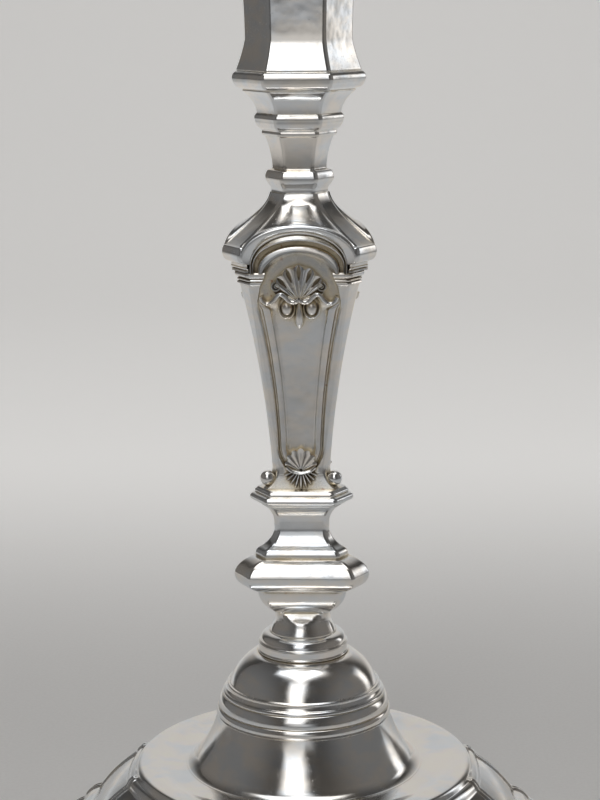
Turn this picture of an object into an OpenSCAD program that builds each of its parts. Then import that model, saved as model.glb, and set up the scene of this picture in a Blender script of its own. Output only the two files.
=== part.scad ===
// Three-sided candlestick on a twelve-sided moulded foot, with a lift-out drip pan.
// Millimetres, +Z up, origin at the centre of the resting face, front panel towards -Y.

/* [Foot] */
// Width of the foot across its flats
foot_w = 145; // [130:1:165]
// Height of the plateau above the table
foot_h = 26.6; // [24:0.1:32]
// Height of the upright edge at the table
rim_h = 2.2; // [1.5:0.1:3]
// Radius of the round plateau
plateau_r = 43.4; // [41:0.1:44.5]
// Depth of the dish in the plateau
dish_depth = 0.6; // [0.2:0.1:1]
// Wall thickness of the foot
foot_wall = 1.8; // [1.4:0.1:2.4]

/* [Bell] */
// Radius of the bell where it meets the plateau
bell_r = 32; // [30:0.1:36]
// Height of the bell
bell_h = 32; // [28:0.1:36]
// Radius of the ring-moulded band
band_r = 23.6; // [22:0.1:25]
// Height of the lower edge of the band above the plateau
band_z = 14.2; // [13:0.1:16]
// Height of the ring-moulded band
band_h = 8.4; // [7:0.1:9.5]
// Wall thickness of the bell
bell_wall = 1.8; // [1.4:0.1:2.2]
// Depth of the locating ring below the bell
spigot_h = 1.6; // [1:0.1:1.8]

/* [Collar] */
// Radius of the plain band of the collar
collar_r = 12.3; // [11.5:0.1:13]
// Height of the plain band
collar_band_h = 2.8; // [2:0.1:4]
// Height of the rounded cushion
cushion_h = 3.4; // [2.5:0.1:4]
// Radius of the seat on top of the cushion
collar_seat_r = 9.2; // [8.8:0.1:10]

/* [Knop] */
// Height of the three-cornered neck
throat_h = 5.8; // [5:0.1:7]
// Reach of the flats of the three-cornered neck
throat_reach = 4.5; // [4.3:0.1:5]
// Height of the bowl under the knop
bowl_h = 7; // [6:0.1:8]
// Reach of the bowl
bowl_reach = 8.8; // [8:0.1:9.6]
// Height of the knop
knop_h = 9.2; // [8:0.1:11]
// Reach of the knop
knop_reach = 13.7; // [12.5:0.1:15]
// Height of the step bead over the knop
step_h = 3; // [2.4:0.1:3.6]
// Reach of the step bead
step_reach = 9.5; // [8.8:0.1:9.9]
// Height of the hollow under the plinth
scotia_h = 11.2; // [10:0.1:13]
// Smallest reach of the hollow
scotia_reach = 5.3; // [4.8:0.1:6]

/* [Plinth] */
// Height of the plinth
plinth_h = 4.8; // [4:0.1:6]
// Reach of the plinth at its nose
plinth_reach = 10.9; // [10.4:0.1:12]

/* [Baluster] */
// Length of the tapered faces up to the capital
shaft_h = 50; // [46:0.5:54]
// Height of the flared foot of the baluster
flare_h = 5.8; // [5:0.1:7]
// Reach of the wide faces at the foot of the baluster
flare_reach = 6.3; // [6:0.1:7]
// Reach of the canted corners at the foot of the baluster
flare_corner_reach = 11; // [10.4:0.1:11.6]
// Reach of the baluster at its waist
waist_reach = 5.7; // [5.4:0.1:5.9]
// Outward lean of the tapered faces in degrees
face_lean = 6.2; // [5.5:0.1:7]
// Height of the capital beads
capital_h = 3; // [2.4:0.1:3.4]
// Height of the shoulder roll at the corners
roll_h = 7.6; // [7:0.1:8.4]
// Reach of the shoulder roll at the corners
roll_reach = 20.3; // [19.6:0.1:21]
// Height of the hollow from the roll to the neck
hollow_h = 13; // [12:0.1:14]
// Depth of the sunk panels
panel_depth = 0.8; // [0.4:0.1:1.1]
// Height of the arch that rises over each panel
arch_rise = 9.2; // [8.6:0.1:9.8]
// Half width of the arch outside its roll
arch_half_w = 16.2; // [15.6:0.1:16.8]
// Width of the roll of the arch
arch_roll_w = 3.6; // [3:0.1:4]
// Stand of the arch roll off the tapered face
arch_stand = 2.4; // [2:0.1:2.8]

/* [Ornament] */
// Number of lobes in each upper shell
shell_lobes = 7; // [5:2:9]
// Length of the lobes of the upper shell
shell_len = 8.2; // [7.6:0.1:8.8]
// Radius of the tip of each lobe
lobe_r = 1.1; // [0.8:0.05:1.3]
// Number of lobes in each lower shell
palmette_lobes = 5; // [3:2:7]
// Length of the lobes of the lower shell
palmette_len = 4.4; // [3.8:0.1:5]
// Radius of the corner balls
ball_r = 1.7; // [1.4:0.05:1.9]

/* [Neck] */
// Height of the lower bead of the neck
lower_bead_h = 6.2; // [5.4:0.1:7]
// Reach of the lower bead
lower_bead_reach = 7.9; // [7.4:0.1:8.6]
// Reach at the waist of the neck
neck_reach = 6.4; // [6:0.1:7]
// Height of the plain neck
neck_h = 9.2; // [8:0.1:11]
// Height of the upper bead
upper_bead_h = 5.4; // [4.6:0.1:6.2]
// Reach of the upper bead
upper_bead_reach = 10.2; // [9.6:0.1:11]

/* [Socket] */
// Height of the hollow under the crest
socket_foot_h = 5; // [4:0.1:6]
// Height of the crest moulding
crest_h = 5.6; // [4.8:0.1:6.6]
// Reach of the crest
crest_reach = 15.3; // [14.6:0.1:16]
// Height of the flare from the crest to the socket body
socket_flare_h = 7.4; // [6.4:0.1:8.4]
// Height of the plain socket body
socket_body_h = 19; // [17:0.1:22]
// Height of the lip of the socket
lip_h = 5; // [4:0.1:6]
// Reach of the lip
lip_reach = 15; // [14.4:0.1:16]
// Thinnest wall of the socket
socket_wall = 0.9; // [0.8:0.05:1.2]

/* [Drip pan] */
// Diameter of the candle
candle_d = 20; // [19:0.1:20.6]
// Wall of the sleeve that holds the candle
sleeve_wall = 0.8; // [0.6:0.05:1]
// Length of the sleeve below the pan
sleeve_len = 20; // [16:0.5:24]
// Thickness of the floor of the sleeve
sleeve_floor = 1; // [0.8:0.1:1.6]
// Reach of the drip pan
pan_reach = 20.6; // [19:0.1:24]
// Height of the drip pan
pan_h = 3; // [2.4:0.1:4]
// Thickness of the drip pan
pan_wall = 1; // [0.8:0.1:1.3]

/* [Tie rod] */
// Diameter of the tie rod
rod_d = 5; // [4:0.1:5.4]
// Diameter of the head in the socket floor
rod_head_d = 11; // [9:0.1:13]
// Thickness of the head
rod_head_h = 1.6; // [1.2:0.1:2.4]
// Diameter of the washer
washer_d = 15; // [13:0.1:17]
// Thickness of the washer
washer_t = 1.2; // [0.8:0.1:1.6]
// Width of the nut across its flats
nut_w = 8; // [7.5:0.1:9]
// Height of the nut
nut_h = 4; // [3.2:0.1:5]

/* [Fits] */
// Clearance of the candle in the sleeve, each side
candle_fit = 0.15; // [0.1:0.01:0.3]
// Clearance of the sleeve in the socket, each side
sleeve_fit = 0.3; // [0.3:0.01:0.4]
// Clearance of the tie rod in its bores, each side
rod_fit = 0.1; // [0.05:0.01:0.2]

/* [Hidden] */
$fn = 96;
// Segments in each curved stretch of a moulding
bow_steps = 6;
// Half length of the blocks that are cut down to faceted pieces
far = 60;
// Directions of the wide faces and of the canted corners
wide_turn = -90;
corner_turn = -30;
third_turn = 120;
foot_turn = 30;
foot_sides = 12;

// Levels from the table upwards
plateau_z = foot_h - dish_depth;
bell_top_z = plateau_z + bell_h;
collar_band_z = bell_top_z + collar_band_h;
collar_top_z = collar_band_z + cushion_h;
bowl_z = collar_top_z + throat_h;
knop_z = bowl_z + bowl_h;
step_z = knop_z + knop_h;
scotia_z = step_z + step_h;
plinth_z = scotia_z + scotia_h;
flare_z = plinth_z + plinth_h;
shaft_z = flare_z + flare_h;
capital_z = shaft_z + shaft_h;
roll_z = capital_z + capital_h;
hollow_z = roll_z + roll_h;
neck_z = hollow_z + hollow_h;
waist_z = neck_z + lower_bead_h;
upper_bead_z = waist_z + neck_h;
socket_z = upper_bead_z + upper_bead_h;
crest_z = socket_z + socket_foot_h;
socket_flare_z = crest_z + crest_h;
body_z = socket_flare_z + socket_flare_h;
lip_z = body_z + socket_body_h;
pan_z = lip_z + lip_h;

// Radii of the fits
sleeve_in_r = candle_d / 2 + candle_fit;
sleeve_out_r = sleeve_in_r + sleeve_wall;
socket_bore_r = sleeve_out_r + sleeve_fit;
body_reach = socket_bore_r + socket_wall;
rod_bore_r = rod_d / 2 + rod_fit;
spigot_inset = 5.4;
spigot_r = bell_r - spigot_inset;
well_floor_z = crest_z + crest_h / 2;

// Widths of grooves and fillets between mouldings
groove = 0.4;
// Height of the thin edge where the bell lies on the plateau
edge = 0.4;

// Reach of the canted corners for a given reach of the wide faces
knop_gain = 1.22;
knop_lift = 1.7;
shaft_gain = 1.46;
shaft_top_gain = 1.5;

// Swell of the curved stretches of a moulding, as a share of their chord
full_round = 0.18;
soft_round = 0.12;
flat = 0;
slack = -0.04;
soft_hollow = -0.1;
deep_hollow = -0.128;

// Curved stretch from p towards q with the given swell, without its end point
function bow(p, q, swell) =
    let (m = (p + q) / 2 + 2 * swell * [q[1] - p[1], p[0] - q[0]])
    [for (i = [0 : bow_steps - 1])
        let (t = i / bow_steps)
        (1 - t) * (1 - t) * p + 2 * t * (1 - t) * m + t * t * q];

// Profile of the canted corners that goes with a profile of the wide faces
function cornered(points, gain, lift) = [for (p = points) [gain * p[0] + lift, p[1]]];

// Block that stops at one moulded face looking in the given direction
module moulded_face(points, turn) {
    last = len(points) - 1;
    rotate([0, 0, turn])
        rotate([90, 0, 0])
            linear_extrude(height = 2 * far, center = true)
                polygon(concat([[-far, points[0][1]]], points, [[-far, points[last][1]]]));
}

// Solid bounded by three moulded faces
module three_faces(points, turn) {
    intersection_for (k = [0 : 2])
        moulded_face(points, turn + k * third_turn);
}

// Casting with three wide faces and three canted corners
module casting(wide, corner) {
    intersection() {
        three_faces(wide, wide_turn);
        three_faces(corner, corner_turn);
    }
}

// Twelve-sided solid under a falling outline
module twelve_sided(points) {
    last = len(points) - 1;
    intersection_for (k = [0 : foot_sides / 2 - 1])
        rotate([0, 0, k * foot_turn])
            rotate([90, 0, 0])
                linear_extrude(height = 2 * foot_w, center = true)
                    polygon(concat(points, [for (i = [last : -1 : 0]) [-points[i][0], points[i][1]]]));
}

module rod_bore(from_z, to_z) {
    translate([0, 0, from_z - edge])
        cylinder(r = rod_bore_r, h = to_z - from_z + 2 * edge);
}

// Puts a drawing on each of the three leaning panel faces, with its normal outwards
module on_faces() {
    for (k = [0 : 2])
        rotate([0, 0, k * third_turn])
            translate([0, -waist_reach, shaft_z])
                rotate([90 + face_lean, 0, 0])
                    children();
}

// Foot: widths are shares of the border between the plateau and the table
border_w = foot_w / 2 - plateau_r;
border_h = foot_h - rim_h;

// Point of the border at a share of its width and of its fall
function border(u, v) = [plateau_r + u * border_w, foot_h - v * border_h];

foot_outline = concat(
    [[foot_w / 2, 0], [foot_w / 2, rim_h]],
    bow(border(0.93, 1), border(0.77, 0.83), soft_round),
    bow(border(0.76, 0.81), border(0.61, 0.64), soft_round),
    bow(border(0.585, 0.64), border(0.215, 0.18), slack),
    bow(border(0.205, 0.16), border(0.12, 0.07), soft_round),
    bow(border(0.115, 0.05), border(0.05, 0), soft_round),
    [border(0, 0)]);
wall_step = [foot_wall, foot_wall];
foot_inner = [
    [foot_w / 2 - foot_wall, -edge],
    [foot_w / 2 - foot_wall, rim_h - foot_wall],
    border(0.77, 0.83) - wall_step,
    border(0.585, 0.64) - wall_step,
    border(0.4, 0.44) - wall_step,
    border(0.1, 0.08) - wall_step,
    [plateau_r - foot_wall, plateau_z - foot_wall]];

module base_foot() {
    color("silver")
        difference() {
            twelve_sided(foot_outline);
            twelve_sided(foot_inner);
            translate([0, 0, plateau_z])
                cylinder(r1 = plateau_r - 3 * dish_depth, r2 = plateau_r, h = dish_depth);
            cylinder(r = spigot_r + rod_fit, h = 2 * foot_h);
        }
}

// Bell: outside from the plateau upwards, inside follows one wall behind
skirt_r = band_r + edge;
band_stand = 2.8;
dome_r = band_r - band_stand;
band_low_z = plateau_z + band_z;
band_top_z = band_low_z + band_h;
fillet_w = 0.9;
heel_w = 3.8;
heel_h = 2.6;
// Levels of the two ridges of the band as shares of its height
ridge_share = 0.37;
slope_share = 0.84;
ridge_z = band_low_z + ridge_share * band_h;
slope_z = band_low_z + slope_share * band_h;
heel = [bell_r - heel_w, plateau_z + heel_h];
bell_outline = concat(
    [[bell_r, plateau_z], [bell_r, plateau_z + edge]],
    bow([bell_r - edge, plateau_z + edge], heel, soft_hollow),
    bow(heel, [skirt_r, band_low_z], slack),
    [[skirt_r, band_low_z], [band_r, band_low_z + groove]],
    bow([band_r, band_low_z + fillet_w], [band_r - edge, ridge_z], soft_round),
    bow([band_r - edge, ridge_z + groove], [dome_r + groove, slope_z], soft_round),
    [[dome_r + groove, slope_z], [dome_r + groove, band_top_z]],
    bow([dome_r - groove, band_top_z], [collar_r + edge, bell_top_z], soft_round),
    [[collar_r + edge, bell_top_z]]);
bell_inner = [
    [collar_r - edge, bell_top_z - bell_wall],
    [dome_r - bell_wall, band_top_z - bell_wall],
    [dome_r, band_low_z],
    [spigot_r - bell_wall, plateau_z + bell_wall],
    [spigot_r - bell_wall, plateau_z - spigot_h],
    [spigot_r, plateau_z - spigot_h],
    [spigot_r, plateau_z]];

module bell() {
    color("silver")
        difference() {
            rotate_extrude()
                polygon(concat(bell_outline, [[0, bell_top_z], [0, bell_top_z - bell_wall]], bell_inner));
            rod_bore(bell_top_z - bell_wall, bell_top_z);
        }
}

collar_outline = concat(
    [[collar_r, bell_top_z], [collar_r, collar_band_z]],
    bow([collar_r - edge, collar_band_z + groove], [collar_seat_r + edge, collar_top_z - edge], full_round),
    [[collar_seat_r + edge, collar_top_z - edge],
        [collar_seat_r, collar_top_z - edge],
        [collar_seat_r, collar_top_z]]);

module collar() {
    color("silver")
        difference() {
            rotate_extrude()
                polygon(concat([[0, bell_top_z]], collar_outline, [[0, collar_top_z]]));
            rod_bore(bell_top_z, collar_top_z);
        }
}

// Knop casting: three-cornered throat, bowl, knop, step bead and scotia
bowl_swell = 3.4;
bowl_ledge = 1.6;
step_round = 1.4;
scotia_inset = 2;
plinth_overhang = 2.4;
vee_h = 3.6;
knop_waist = bowl_reach - bowl_swell;
knop_top_reach = plinth_reach - plinth_overhang;
// Level of the nose of the knop as a share of its height
nose_share = 0.55;
knop_nose = [knop_reach, knop_z + nose_share * knop_h];
scotia_waist = [scotia_reach, scotia_z + scotia_h / 2];
knop_upper = concat(
    bow([knop_waist, bowl_z], [bowl_reach, knop_z - groove], soft_round),
    bow([bowl_reach, knop_z], [bowl_reach + bowl_ledge, knop_z + groove], flat),
    bow([bowl_reach + bowl_ledge, knop_z + groove], knop_nose, full_round),
    bow(knop_nose, [step_reach + groove, step_z], soft_round),
    bow([step_reach - groove, step_z], [step_reach - step_round, scotia_z - groove], full_round),
    bow([step_reach - scotia_inset, scotia_z], scotia_waist, deep_hollow),
    bow(scotia_waist, [knop_top_reach, plinth_z], deep_hollow),
    [[knop_top_reach, plinth_z]]);
knop_wide = concat(
    bow([2 * throat_reach + edge, collar_top_z], [2 * throat_reach, bowl_z - vee_h], flat),
    bow([2 * throat_reach, bowl_z - vee_h], [knop_waist, bowl_z], soft_hollow),
    knop_upper);
knop_corner = concat(
    bow([throat_reach, collar_top_z], [throat_reach - edge, bowl_z - edge], slack),
    cornered(knop_upper, knop_gain, knop_lift));

module knop() {
    color("silver")
        difference() {
            casting(knop_wide, knop_corner);
            rod_bore(collar_top_z, plinth_z);
        }
}

// Plinth: cove up to the nose, round over it, fillet on top
plinth_cove = 2;
plinth_round = 0.9;
fillet_inset = 1.3;
plinth_nose_share = 0.35;
plinth_round_share = 0.72;
plinth_nose = [plinth_reach, plinth_z + plinth_nose_share * plinth_h];
plinth_edge = [plinth_reach - plinth_round, plinth_z + plinth_round_share * plinth_h];
plinth_top = [plinth_reach - fillet_inset - edge, flare_z];
plinth_wide = concat(
    bow([plinth_reach - plinth_cove, plinth_z], plinth_nose, soft_round),
    bow(plinth_nose, plinth_edge, full_round),
    bow([plinth_reach - fillet_inset, plinth_edge[1] + edge / 2], plinth_top, full_round),
    [plinth_top]);

module plinth() {
    color("silver")
        difference() {
            casting(plinth_wide, cornered(plinth_wide, knop_gain, groove));
            rod_bore(plinth_z, flare_z);
        }
}

// Baluster: leaning faces, capital beads, shoulder roll at the corners and hollow to the neck
face_gain = tan(face_lean);
shaft_top_reach = waist_reach + shaft_h * face_gain;
seat_step = 0.6;
neck_seat = [neck_reach + seat_step, neck_z];
// Levels of the crown of the faces and of the nose of the roll, as shares of their stretch
crown_share = 0.23;
roll_share = 0.75;
roll_round = 1;
crown_z = hollow_z + crown_share * hollow_h;
crown_reach = waist_reach + (crown_z - shaft_z) * face_gain;
waist = [waist_reach, shaft_z];
corner_waist = [shaft_gain * waist_reach, shaft_z];
roll_nose = [roll_reach, roll_z + roll_share * roll_h];
baluster_wide = concat(
    bow([flare_reach, flare_z], waist, slack),
    [waist],
    bow([crown_reach, crown_z], neck_seat, soft_hollow),
    [neck_seat]);
capital_reach = shaft_top_gain * shaft_top_reach;
baluster_corner = concat(
    bow([flare_corner_reach, flare_z], corner_waist, deep_hollow),
    [corner_waist],
    bow([capital_reach - groove, capital_z], [capital_reach + groove, roll_z - groove], full_round),
    bow([capital_reach + groove, roll_z], roll_nose, full_round),
    bow(roll_nose, [roll_reach - roll_round, hollow_z], soft_round),
    bow([roll_reach - roll_round - groove, hollow_z + groove], neck_seat, deep_hollow),
    [neck_seat]);

// Arch over a panel as a plate of the given inset and stand
arch_drop = 2;
arch_leg = 7;
arch_foot = capital_h + shaft_h - arch_drop;
arch_spring = arch_foot + arch_leg;
arch_turn = 10;
// Steps of the arch from its outer edge inwards: edge, roll, groove and band
arch_edge = 0.5;
arch_edge_fall = 0.8;
groove_fall = 0.7;
band_fall = 1.4;
band_inset = 1;
field_inset = 2.6;
field_half_w = arch_half_w - arch_roll_w - field_inset;
bead_w = 1.8;
bead_stand = 1.6;

module arch_plate(inset, stand) {
    linear_extrude(height = stand)
        polygon(concat(
            [[arch_half_w - inset, arch_foot]],
            [for (t = [0 : arch_turn : 180])
                [(arch_half_w - inset) * cos(t), arch_spring + (arch_rise - inset) * sin(t)]],
            [[inset - arch_half_w, arch_foot]]));
}

// Two beads across the top of each pilaster, beside the field
module capital_beads() {
    for (side = [0, 1])
        mirror([side, 0, 0])
            translate([field_half_w, arch_foot, 0]) {
                cube([arch_half_w - field_half_w, bead_w, bead_stand]);
                translate([0, -bead_w, 0])
                    cube([arch_half_w - field_half_w, bead_w - groove, bead_stand / 2]);
            }
}

// Sunk field below the arch and sunk panel down the shaft
frieze_h = 6.4;
panel_top = shaft_h - frieze_h;
panel_foot = 4.5;
panel_top_half_w = 8.4;
panel_foot_half_w = 4.6;
ledge_w = 1.7;

module panel(inset, depth) {
    translate([0, 0, -depth])
        linear_extrude(height = 2 * depth)
            polygon([
                [panel_foot_half_w - inset, panel_foot + inset],
                [panel_top_half_w - inset, panel_top - inset],
                [inset - panel_top_half_w, panel_top - inset],
                [inset - panel_foot_half_w, panel_foot + inset]]);
}

module baluster() {
    color("silver")
        difference() {
            intersection() {
                union() {
                    three_faces(baluster_wide, wide_turn);
                    intersection() {
                        on_faces()
                            difference() {
                                union() {
                                    arch_plate(0, arch_stand - arch_edge_fall);
                                    arch_plate(arch_edge, arch_stand);
                                    capital_beads();
                                }
                                translate([0, 0, arch_stand - groove_fall])
                                    arch_plate(arch_roll_w, arch_stand);
                                translate([0, 0, arch_stand - band_fall])
                                    arch_plate(arch_roll_w + band_inset, arch_stand);
                                arch_plate(arch_half_w - field_half_w, 2 * arch_stand);
                            }
                        translate([0, 0, capital_z])
                            cylinder(r = far, h = neck_z - capital_z);
                    }
                }
                three_faces(baluster_corner, corner_turn);
            }
            on_faces()
                panel(0, panel_depth / 2);
            on_faces()
                panel(ledge_w, panel_depth);
            at_corners()
                ball_peg(peg_r + rod_fit);
            rod_bore(flare_z, neck_z);
        }
}

// Upper shell: lobes fanned above a root, a swag band below them, two drops and a pendant
shell_drop = 3.6;
shell_root = shaft_h - shell_drop;
shell_spread = 112;
drop_r = 1.4;
drop_x = 3.3;
drop_fall = 2.4;
pendant_len = 6.6;
swag_len = 9.6;
swag_turn = 88;
// Width of the raised rib of a lobe as a share of the lobe
rib_share = 0.75;

// Outline of one lobe in the plane of the face, from a root outwards
module lobe(turn, len, root_r, tip_r) {
    rotate(turn) {
        polygon([[-root_r, 0], [root_r, 0], [tip_r, len], [-tip_r, len]]);
        translate([0, len])
            circle(r = tip_r);
    }
}

// Fan of lobes about the upright of the face
module fan(lobes, spread, len, root_r, tip_r) {
    for (i = [0 : lobes - 1])
        lobe((i / (lobes - 1) - 0.5) * spread, len, root_r, tip_r);
}

module upper_shells() {
    color("silver")
        on_faces()
            translate([0, shell_root, 0]) {
                linear_extrude(height = lobe_r / 2) {
                    fan(shell_lobes, shell_spread, shell_len, lobe_r / 2, lobe_r);
                    circle(r = shell_len / 2);
                    lobe(180, pendant_len, lobe_r, lobe_r / 2);
                    for (side = [-1, 1])
                        lobe(side * swag_turn, swag_len, lobe_r, lobe_r / 2);
                }
                linear_extrude(height = lobe_r)
                    fan(shell_lobes, shell_spread, shell_len, lobe_r / 2, rib_share * lobe_r);
                for (side = [-1, 1])
                    translate([side * drop_x, -drop_fall, 0])
                        cylinder(r1 = drop_r, r2 = drop_r / 2, h = drop_r);
            }
}

// Lower shell: lobes fanned upwards from a band across the foot of the panel
palmette_root = 0.6;
palmette_spread = 130;

module lower_shells() {
    color("silver")
        on_faces()
            translate([0, palmette_root, 0]) {
                linear_extrude(height = lobe_r)
                    fan(palmette_lobes, palmette_spread, palmette_len, lobe_r / 2, rib_share * lobe_r);
                linear_extrude(height = lobe_r / 2)
                    fan(2, 180, panel_foot_half_w - lobe_r, lobe_r / 2, lobe_r / 2);
            }
}

// Balls at the feet of the canted corners, each on a peg set into the baluster
ball_stand = 0.5;
ball_share = 0.42;
ball_reach = corner_waist[0] + ball_r + ball_stand;
ball_z = shaft_z - ball_share * flare_h;
peg_r = 0.7;
peg_depth = 1.6;

module at_corners() {
    for (k = [0 : 2])
        rotate([0, 0, corner_turn + k * third_turn])
            translate([ball_reach, 0, ball_z])
                children();
}

module ball_peg(r) {
    rotate([0, -90, 0])
        cylinder(r = r, h = ball_r + peg_depth);
}

module corner_balls() {
    color("silver")
        at_corners() {
            sphere(r = ball_r);
            ball_peg(peg_r);
        }
}

// Neck: lower bead, plain waist and upper bead
bead_round = 0.6;
waist_round = 0.9;
upper_round = 1.8;
lower_bead_share = 0.3;
upper_bead_share = 0.65;
lower_bead = [lower_bead_reach - bead_round, neck_z + lower_bead_share * lower_bead_h];
upper_bead = [upper_bead_reach, upper_bead_z + upper_bead_share * upper_bead_h];
socket_seat = [upper_bead_reach - groove, socket_z];
neck_wide = concat(
    bow(neck_seat, lower_bead, soft_hollow),
    bow(lower_bead, [lower_bead_reach - waist_round, waist_z - groove], soft_round),
    bow([neck_reach, waist_z], [upper_bead_reach - upper_round - edge / 2, upper_bead_z - groove], slack),
    bow([upper_bead_reach - upper_round, upper_bead_z], upper_bead, soft_round),
    bow(upper_bead, socket_seat, soft_round),
    [socket_seat]);

module neck() {
    color("silver")
        difference() {
            casting(neck_wide, neck_wide);
            rod_bore(neck_z, socket_z);
        }
}

// Socket: hollow foot, crest, flare, plain body and lip
crest_cove = 2;
crest_round = 0.7;
body_flare = 1;
lip_cove = 1.3;
crest_share = 0.55;
lip_share = 0.6;
crest_nose = [crest_reach, crest_z + crest_share * crest_h];
body_foot = [body_reach, body_z];
lip_nose_z = lip_z + lip_share * lip_h;
lip_top = [lip_reach - groove, pan_z];
socket_wide = concat(
    bow(socket_seat, [crest_reach - crest_cove - groove, crest_z - groove], soft_hollow),
    bow([crest_reach - crest_cove, crest_z], crest_nose, soft_round),
    bow(crest_nose, [crest_reach - crest_round, socket_flare_z - groove], soft_round),
    bow([crest_reach - crest_round - edge / 4, socket_flare_z], body_foot, 2 * slack),
    bow(body_foot, [body_reach + body_flare, lip_z], slack / 4),
    bow([body_reach + lip_cove, lip_z], [lip_reach - groove, lip_nose_z], soft_hollow),
    bow([lip_reach, lip_nose_z], lip_top, soft_round),
    [lip_top]);

module socket() {
    color("silver")
        difference() {
            casting(socket_wide, socket_wide);
            translate([0, 0, well_floor_z])
                cylinder(r = socket_bore_r, h = pan_z);
            rod_bore(socket_z, well_floor_z);
        }
}

// Drip pan: dished six-sided pan on a round sleeve
pan_under = [
    lip_top,
    [pan_reach - groove, pan_z + pan_h - 2 * pan_wall],
    [pan_reach, pan_z + pan_h - pan_wall],
    [pan_reach, pan_z + pan_h]];
pan_dish = [
    [lip_reach - pan_wall, pan_z + pan_wall],
    [pan_reach - pan_wall - edge / 2, pan_z + pan_h + edge]];

module bobeche() {
    color("silver")
        difference() {
            union() {
                difference() {
                    casting(pan_under, pan_under);
                    casting(pan_dish, pan_dish);
                }
                translate([0, 0, pan_z - sleeve_len])
                    cylinder(r = sleeve_out_r, h = sleeve_len + pan_wall);
                translate([0, 0, pan_z])
                    cylinder(r = sleeve_out_r + sleeve_fit, h = 2 * pan_wall);
            }
            translate([0, 0, pan_z - sleeve_len + sleeve_floor])
                cylinder(r = sleeve_in_r, h = sleeve_len + pan_h);
        }
}

washer_z = bell_top_z - bell_wall - washer_t;
nut_z = washer_z - nut_h;

module tie_rod() {
    color("dimgray") {
        translate([0, 0, nut_z - rod_d / 4])
            cylinder(d = rod_d, h = well_floor_z - nut_z + rod_d / 4);
        translate([0, 0, well_floor_z])
            cylinder(d = rod_head_d, h = rod_head_h);
    }
}

module rod_washer() {
    color("dimgray")
        translate([0, 0, washer_z])
            difference() {
                cylinder(d = washer_d, h = washer_t);
                rod_bore(0, washer_t);
            }
}

module rod_nut() {
    color("dimgray")
        translate([0, 0, nut_z])
            difference() {
                rotate([0, 0, foot_turn])
                    cylinder(d = nut_w / cos(foot_turn), h = nut_h, $fn = 6);
                rod_bore(0, nut_h);
            }
}

base_foot();
bell();
collar();
knop();
plinth();
baluster();
upper_shells();
lower_shells();
corner_balls();
neck();
socket();
bobeche();
tie_rod();
rod_washer();
rod_nut();
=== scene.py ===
"""Three-sided silver candlestick: cast, turned and applied pieces, old polish, stage and camera."""
from math import asin, atan2, cos, pi, radians, sin, sqrt, tan

import bmesh
import bpy
from mathutils import Matrix, Vector


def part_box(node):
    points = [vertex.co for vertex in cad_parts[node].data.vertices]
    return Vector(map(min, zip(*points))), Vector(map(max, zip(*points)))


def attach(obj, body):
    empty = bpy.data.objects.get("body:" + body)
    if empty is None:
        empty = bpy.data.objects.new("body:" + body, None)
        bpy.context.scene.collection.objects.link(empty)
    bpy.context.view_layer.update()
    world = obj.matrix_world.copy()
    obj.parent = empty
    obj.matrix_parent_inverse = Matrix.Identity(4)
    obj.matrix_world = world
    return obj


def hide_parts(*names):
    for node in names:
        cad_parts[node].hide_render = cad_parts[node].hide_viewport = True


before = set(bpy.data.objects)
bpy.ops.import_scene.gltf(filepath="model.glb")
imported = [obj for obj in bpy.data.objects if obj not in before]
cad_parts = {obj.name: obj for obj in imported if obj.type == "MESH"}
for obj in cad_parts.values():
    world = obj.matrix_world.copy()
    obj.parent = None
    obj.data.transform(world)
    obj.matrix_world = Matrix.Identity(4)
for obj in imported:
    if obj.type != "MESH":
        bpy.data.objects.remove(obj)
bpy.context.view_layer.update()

bl_info = {
    "name": "Three-sided candlestick",
    "version": (1, 0, 0),
    "blender": (4, 5, 0),
    "location": "3D View > Sidebar > Candlestick",
    "description": "Builds the visible pieces, finishes and stage of a three-sided silver candlestick",
    "category": "Add Mesh",
}

MM = 0.001
STAND, LOOSE_PAN = "stand", "bobeche"
CAST, TURNED, DULL_IRON = "cast_silver", "turned_silver", "dull_iron"

# Sections of the stem: three wide flats, the first towards -Y, and three canted corners between them
FRONT = radians(-90)
SIXTH = radians(60)
THIRD = radians(120)
# Least width that a flat keeps where its neighbours meet, and the most of it that rounding takes
SLIVER = 0.2
ROUNDED_SHARE = 0.8
# Steps in the rounding of an arris and in a curved stretch of a moulding
ARRIS_STEPS = 6
CURVE_STEPS = 8
SPIN_STEPS = 160
# Wear: turns that count as sharp, the most of a stretch that it takes, and points of its rounding
SHARP_TURN = radians(14)
WORN_SHARE = 0.4
WEAR_POINTS = 4
# Points closer than this are one, and faces that bend further than this show an edge
TOUCHING = 1e-6
SHADED_EDGE = radians(34)

# Mouldings in millimetres: reach of the flat, height above the piece's seat, and the swell of the
# stretch that follows as a share of its chord
FULL, SOFT, SLACK, HOLLOW, DEEP = 0.18, 0.12, -0.04, -0.1, -0.128
# The throat is round below and cut by three leaning flats above: radius or reach and height
THROAT_TOP = 5.8
THROAT_ROUND = [(9.1, 0.0), (9.0, 0.3), (8.6, 1.2), (8.15, 2.2), (7.85, 3.15), (7.6, 4.4), (7.5, THROAT_TOP)]
THROAT_FLAT = [(10.0, 0.0), (7.85, 3.15), (6.6, 4.3), (5.5, THROAT_TOP)]
THROAT_STEPS = 18
KNOP_CORNER = (1.36, 0.95)
KNOP_FACE = [
    (5.5, THROAT_TOP, SOFT), (8.6, 12.4, 0), (8.5, 12.8, 0), (10.1, 13.2, FULL), (13.2, 17.86, SOFT),
    (9.65, 22.0, 0), (8.9, 22.0, FULL), (7.95, 24.6, 0), (7.4, 25.0, DEEP), (5.3, 30.6, DEEP), (7.6, 36.2, 0)]
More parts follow.
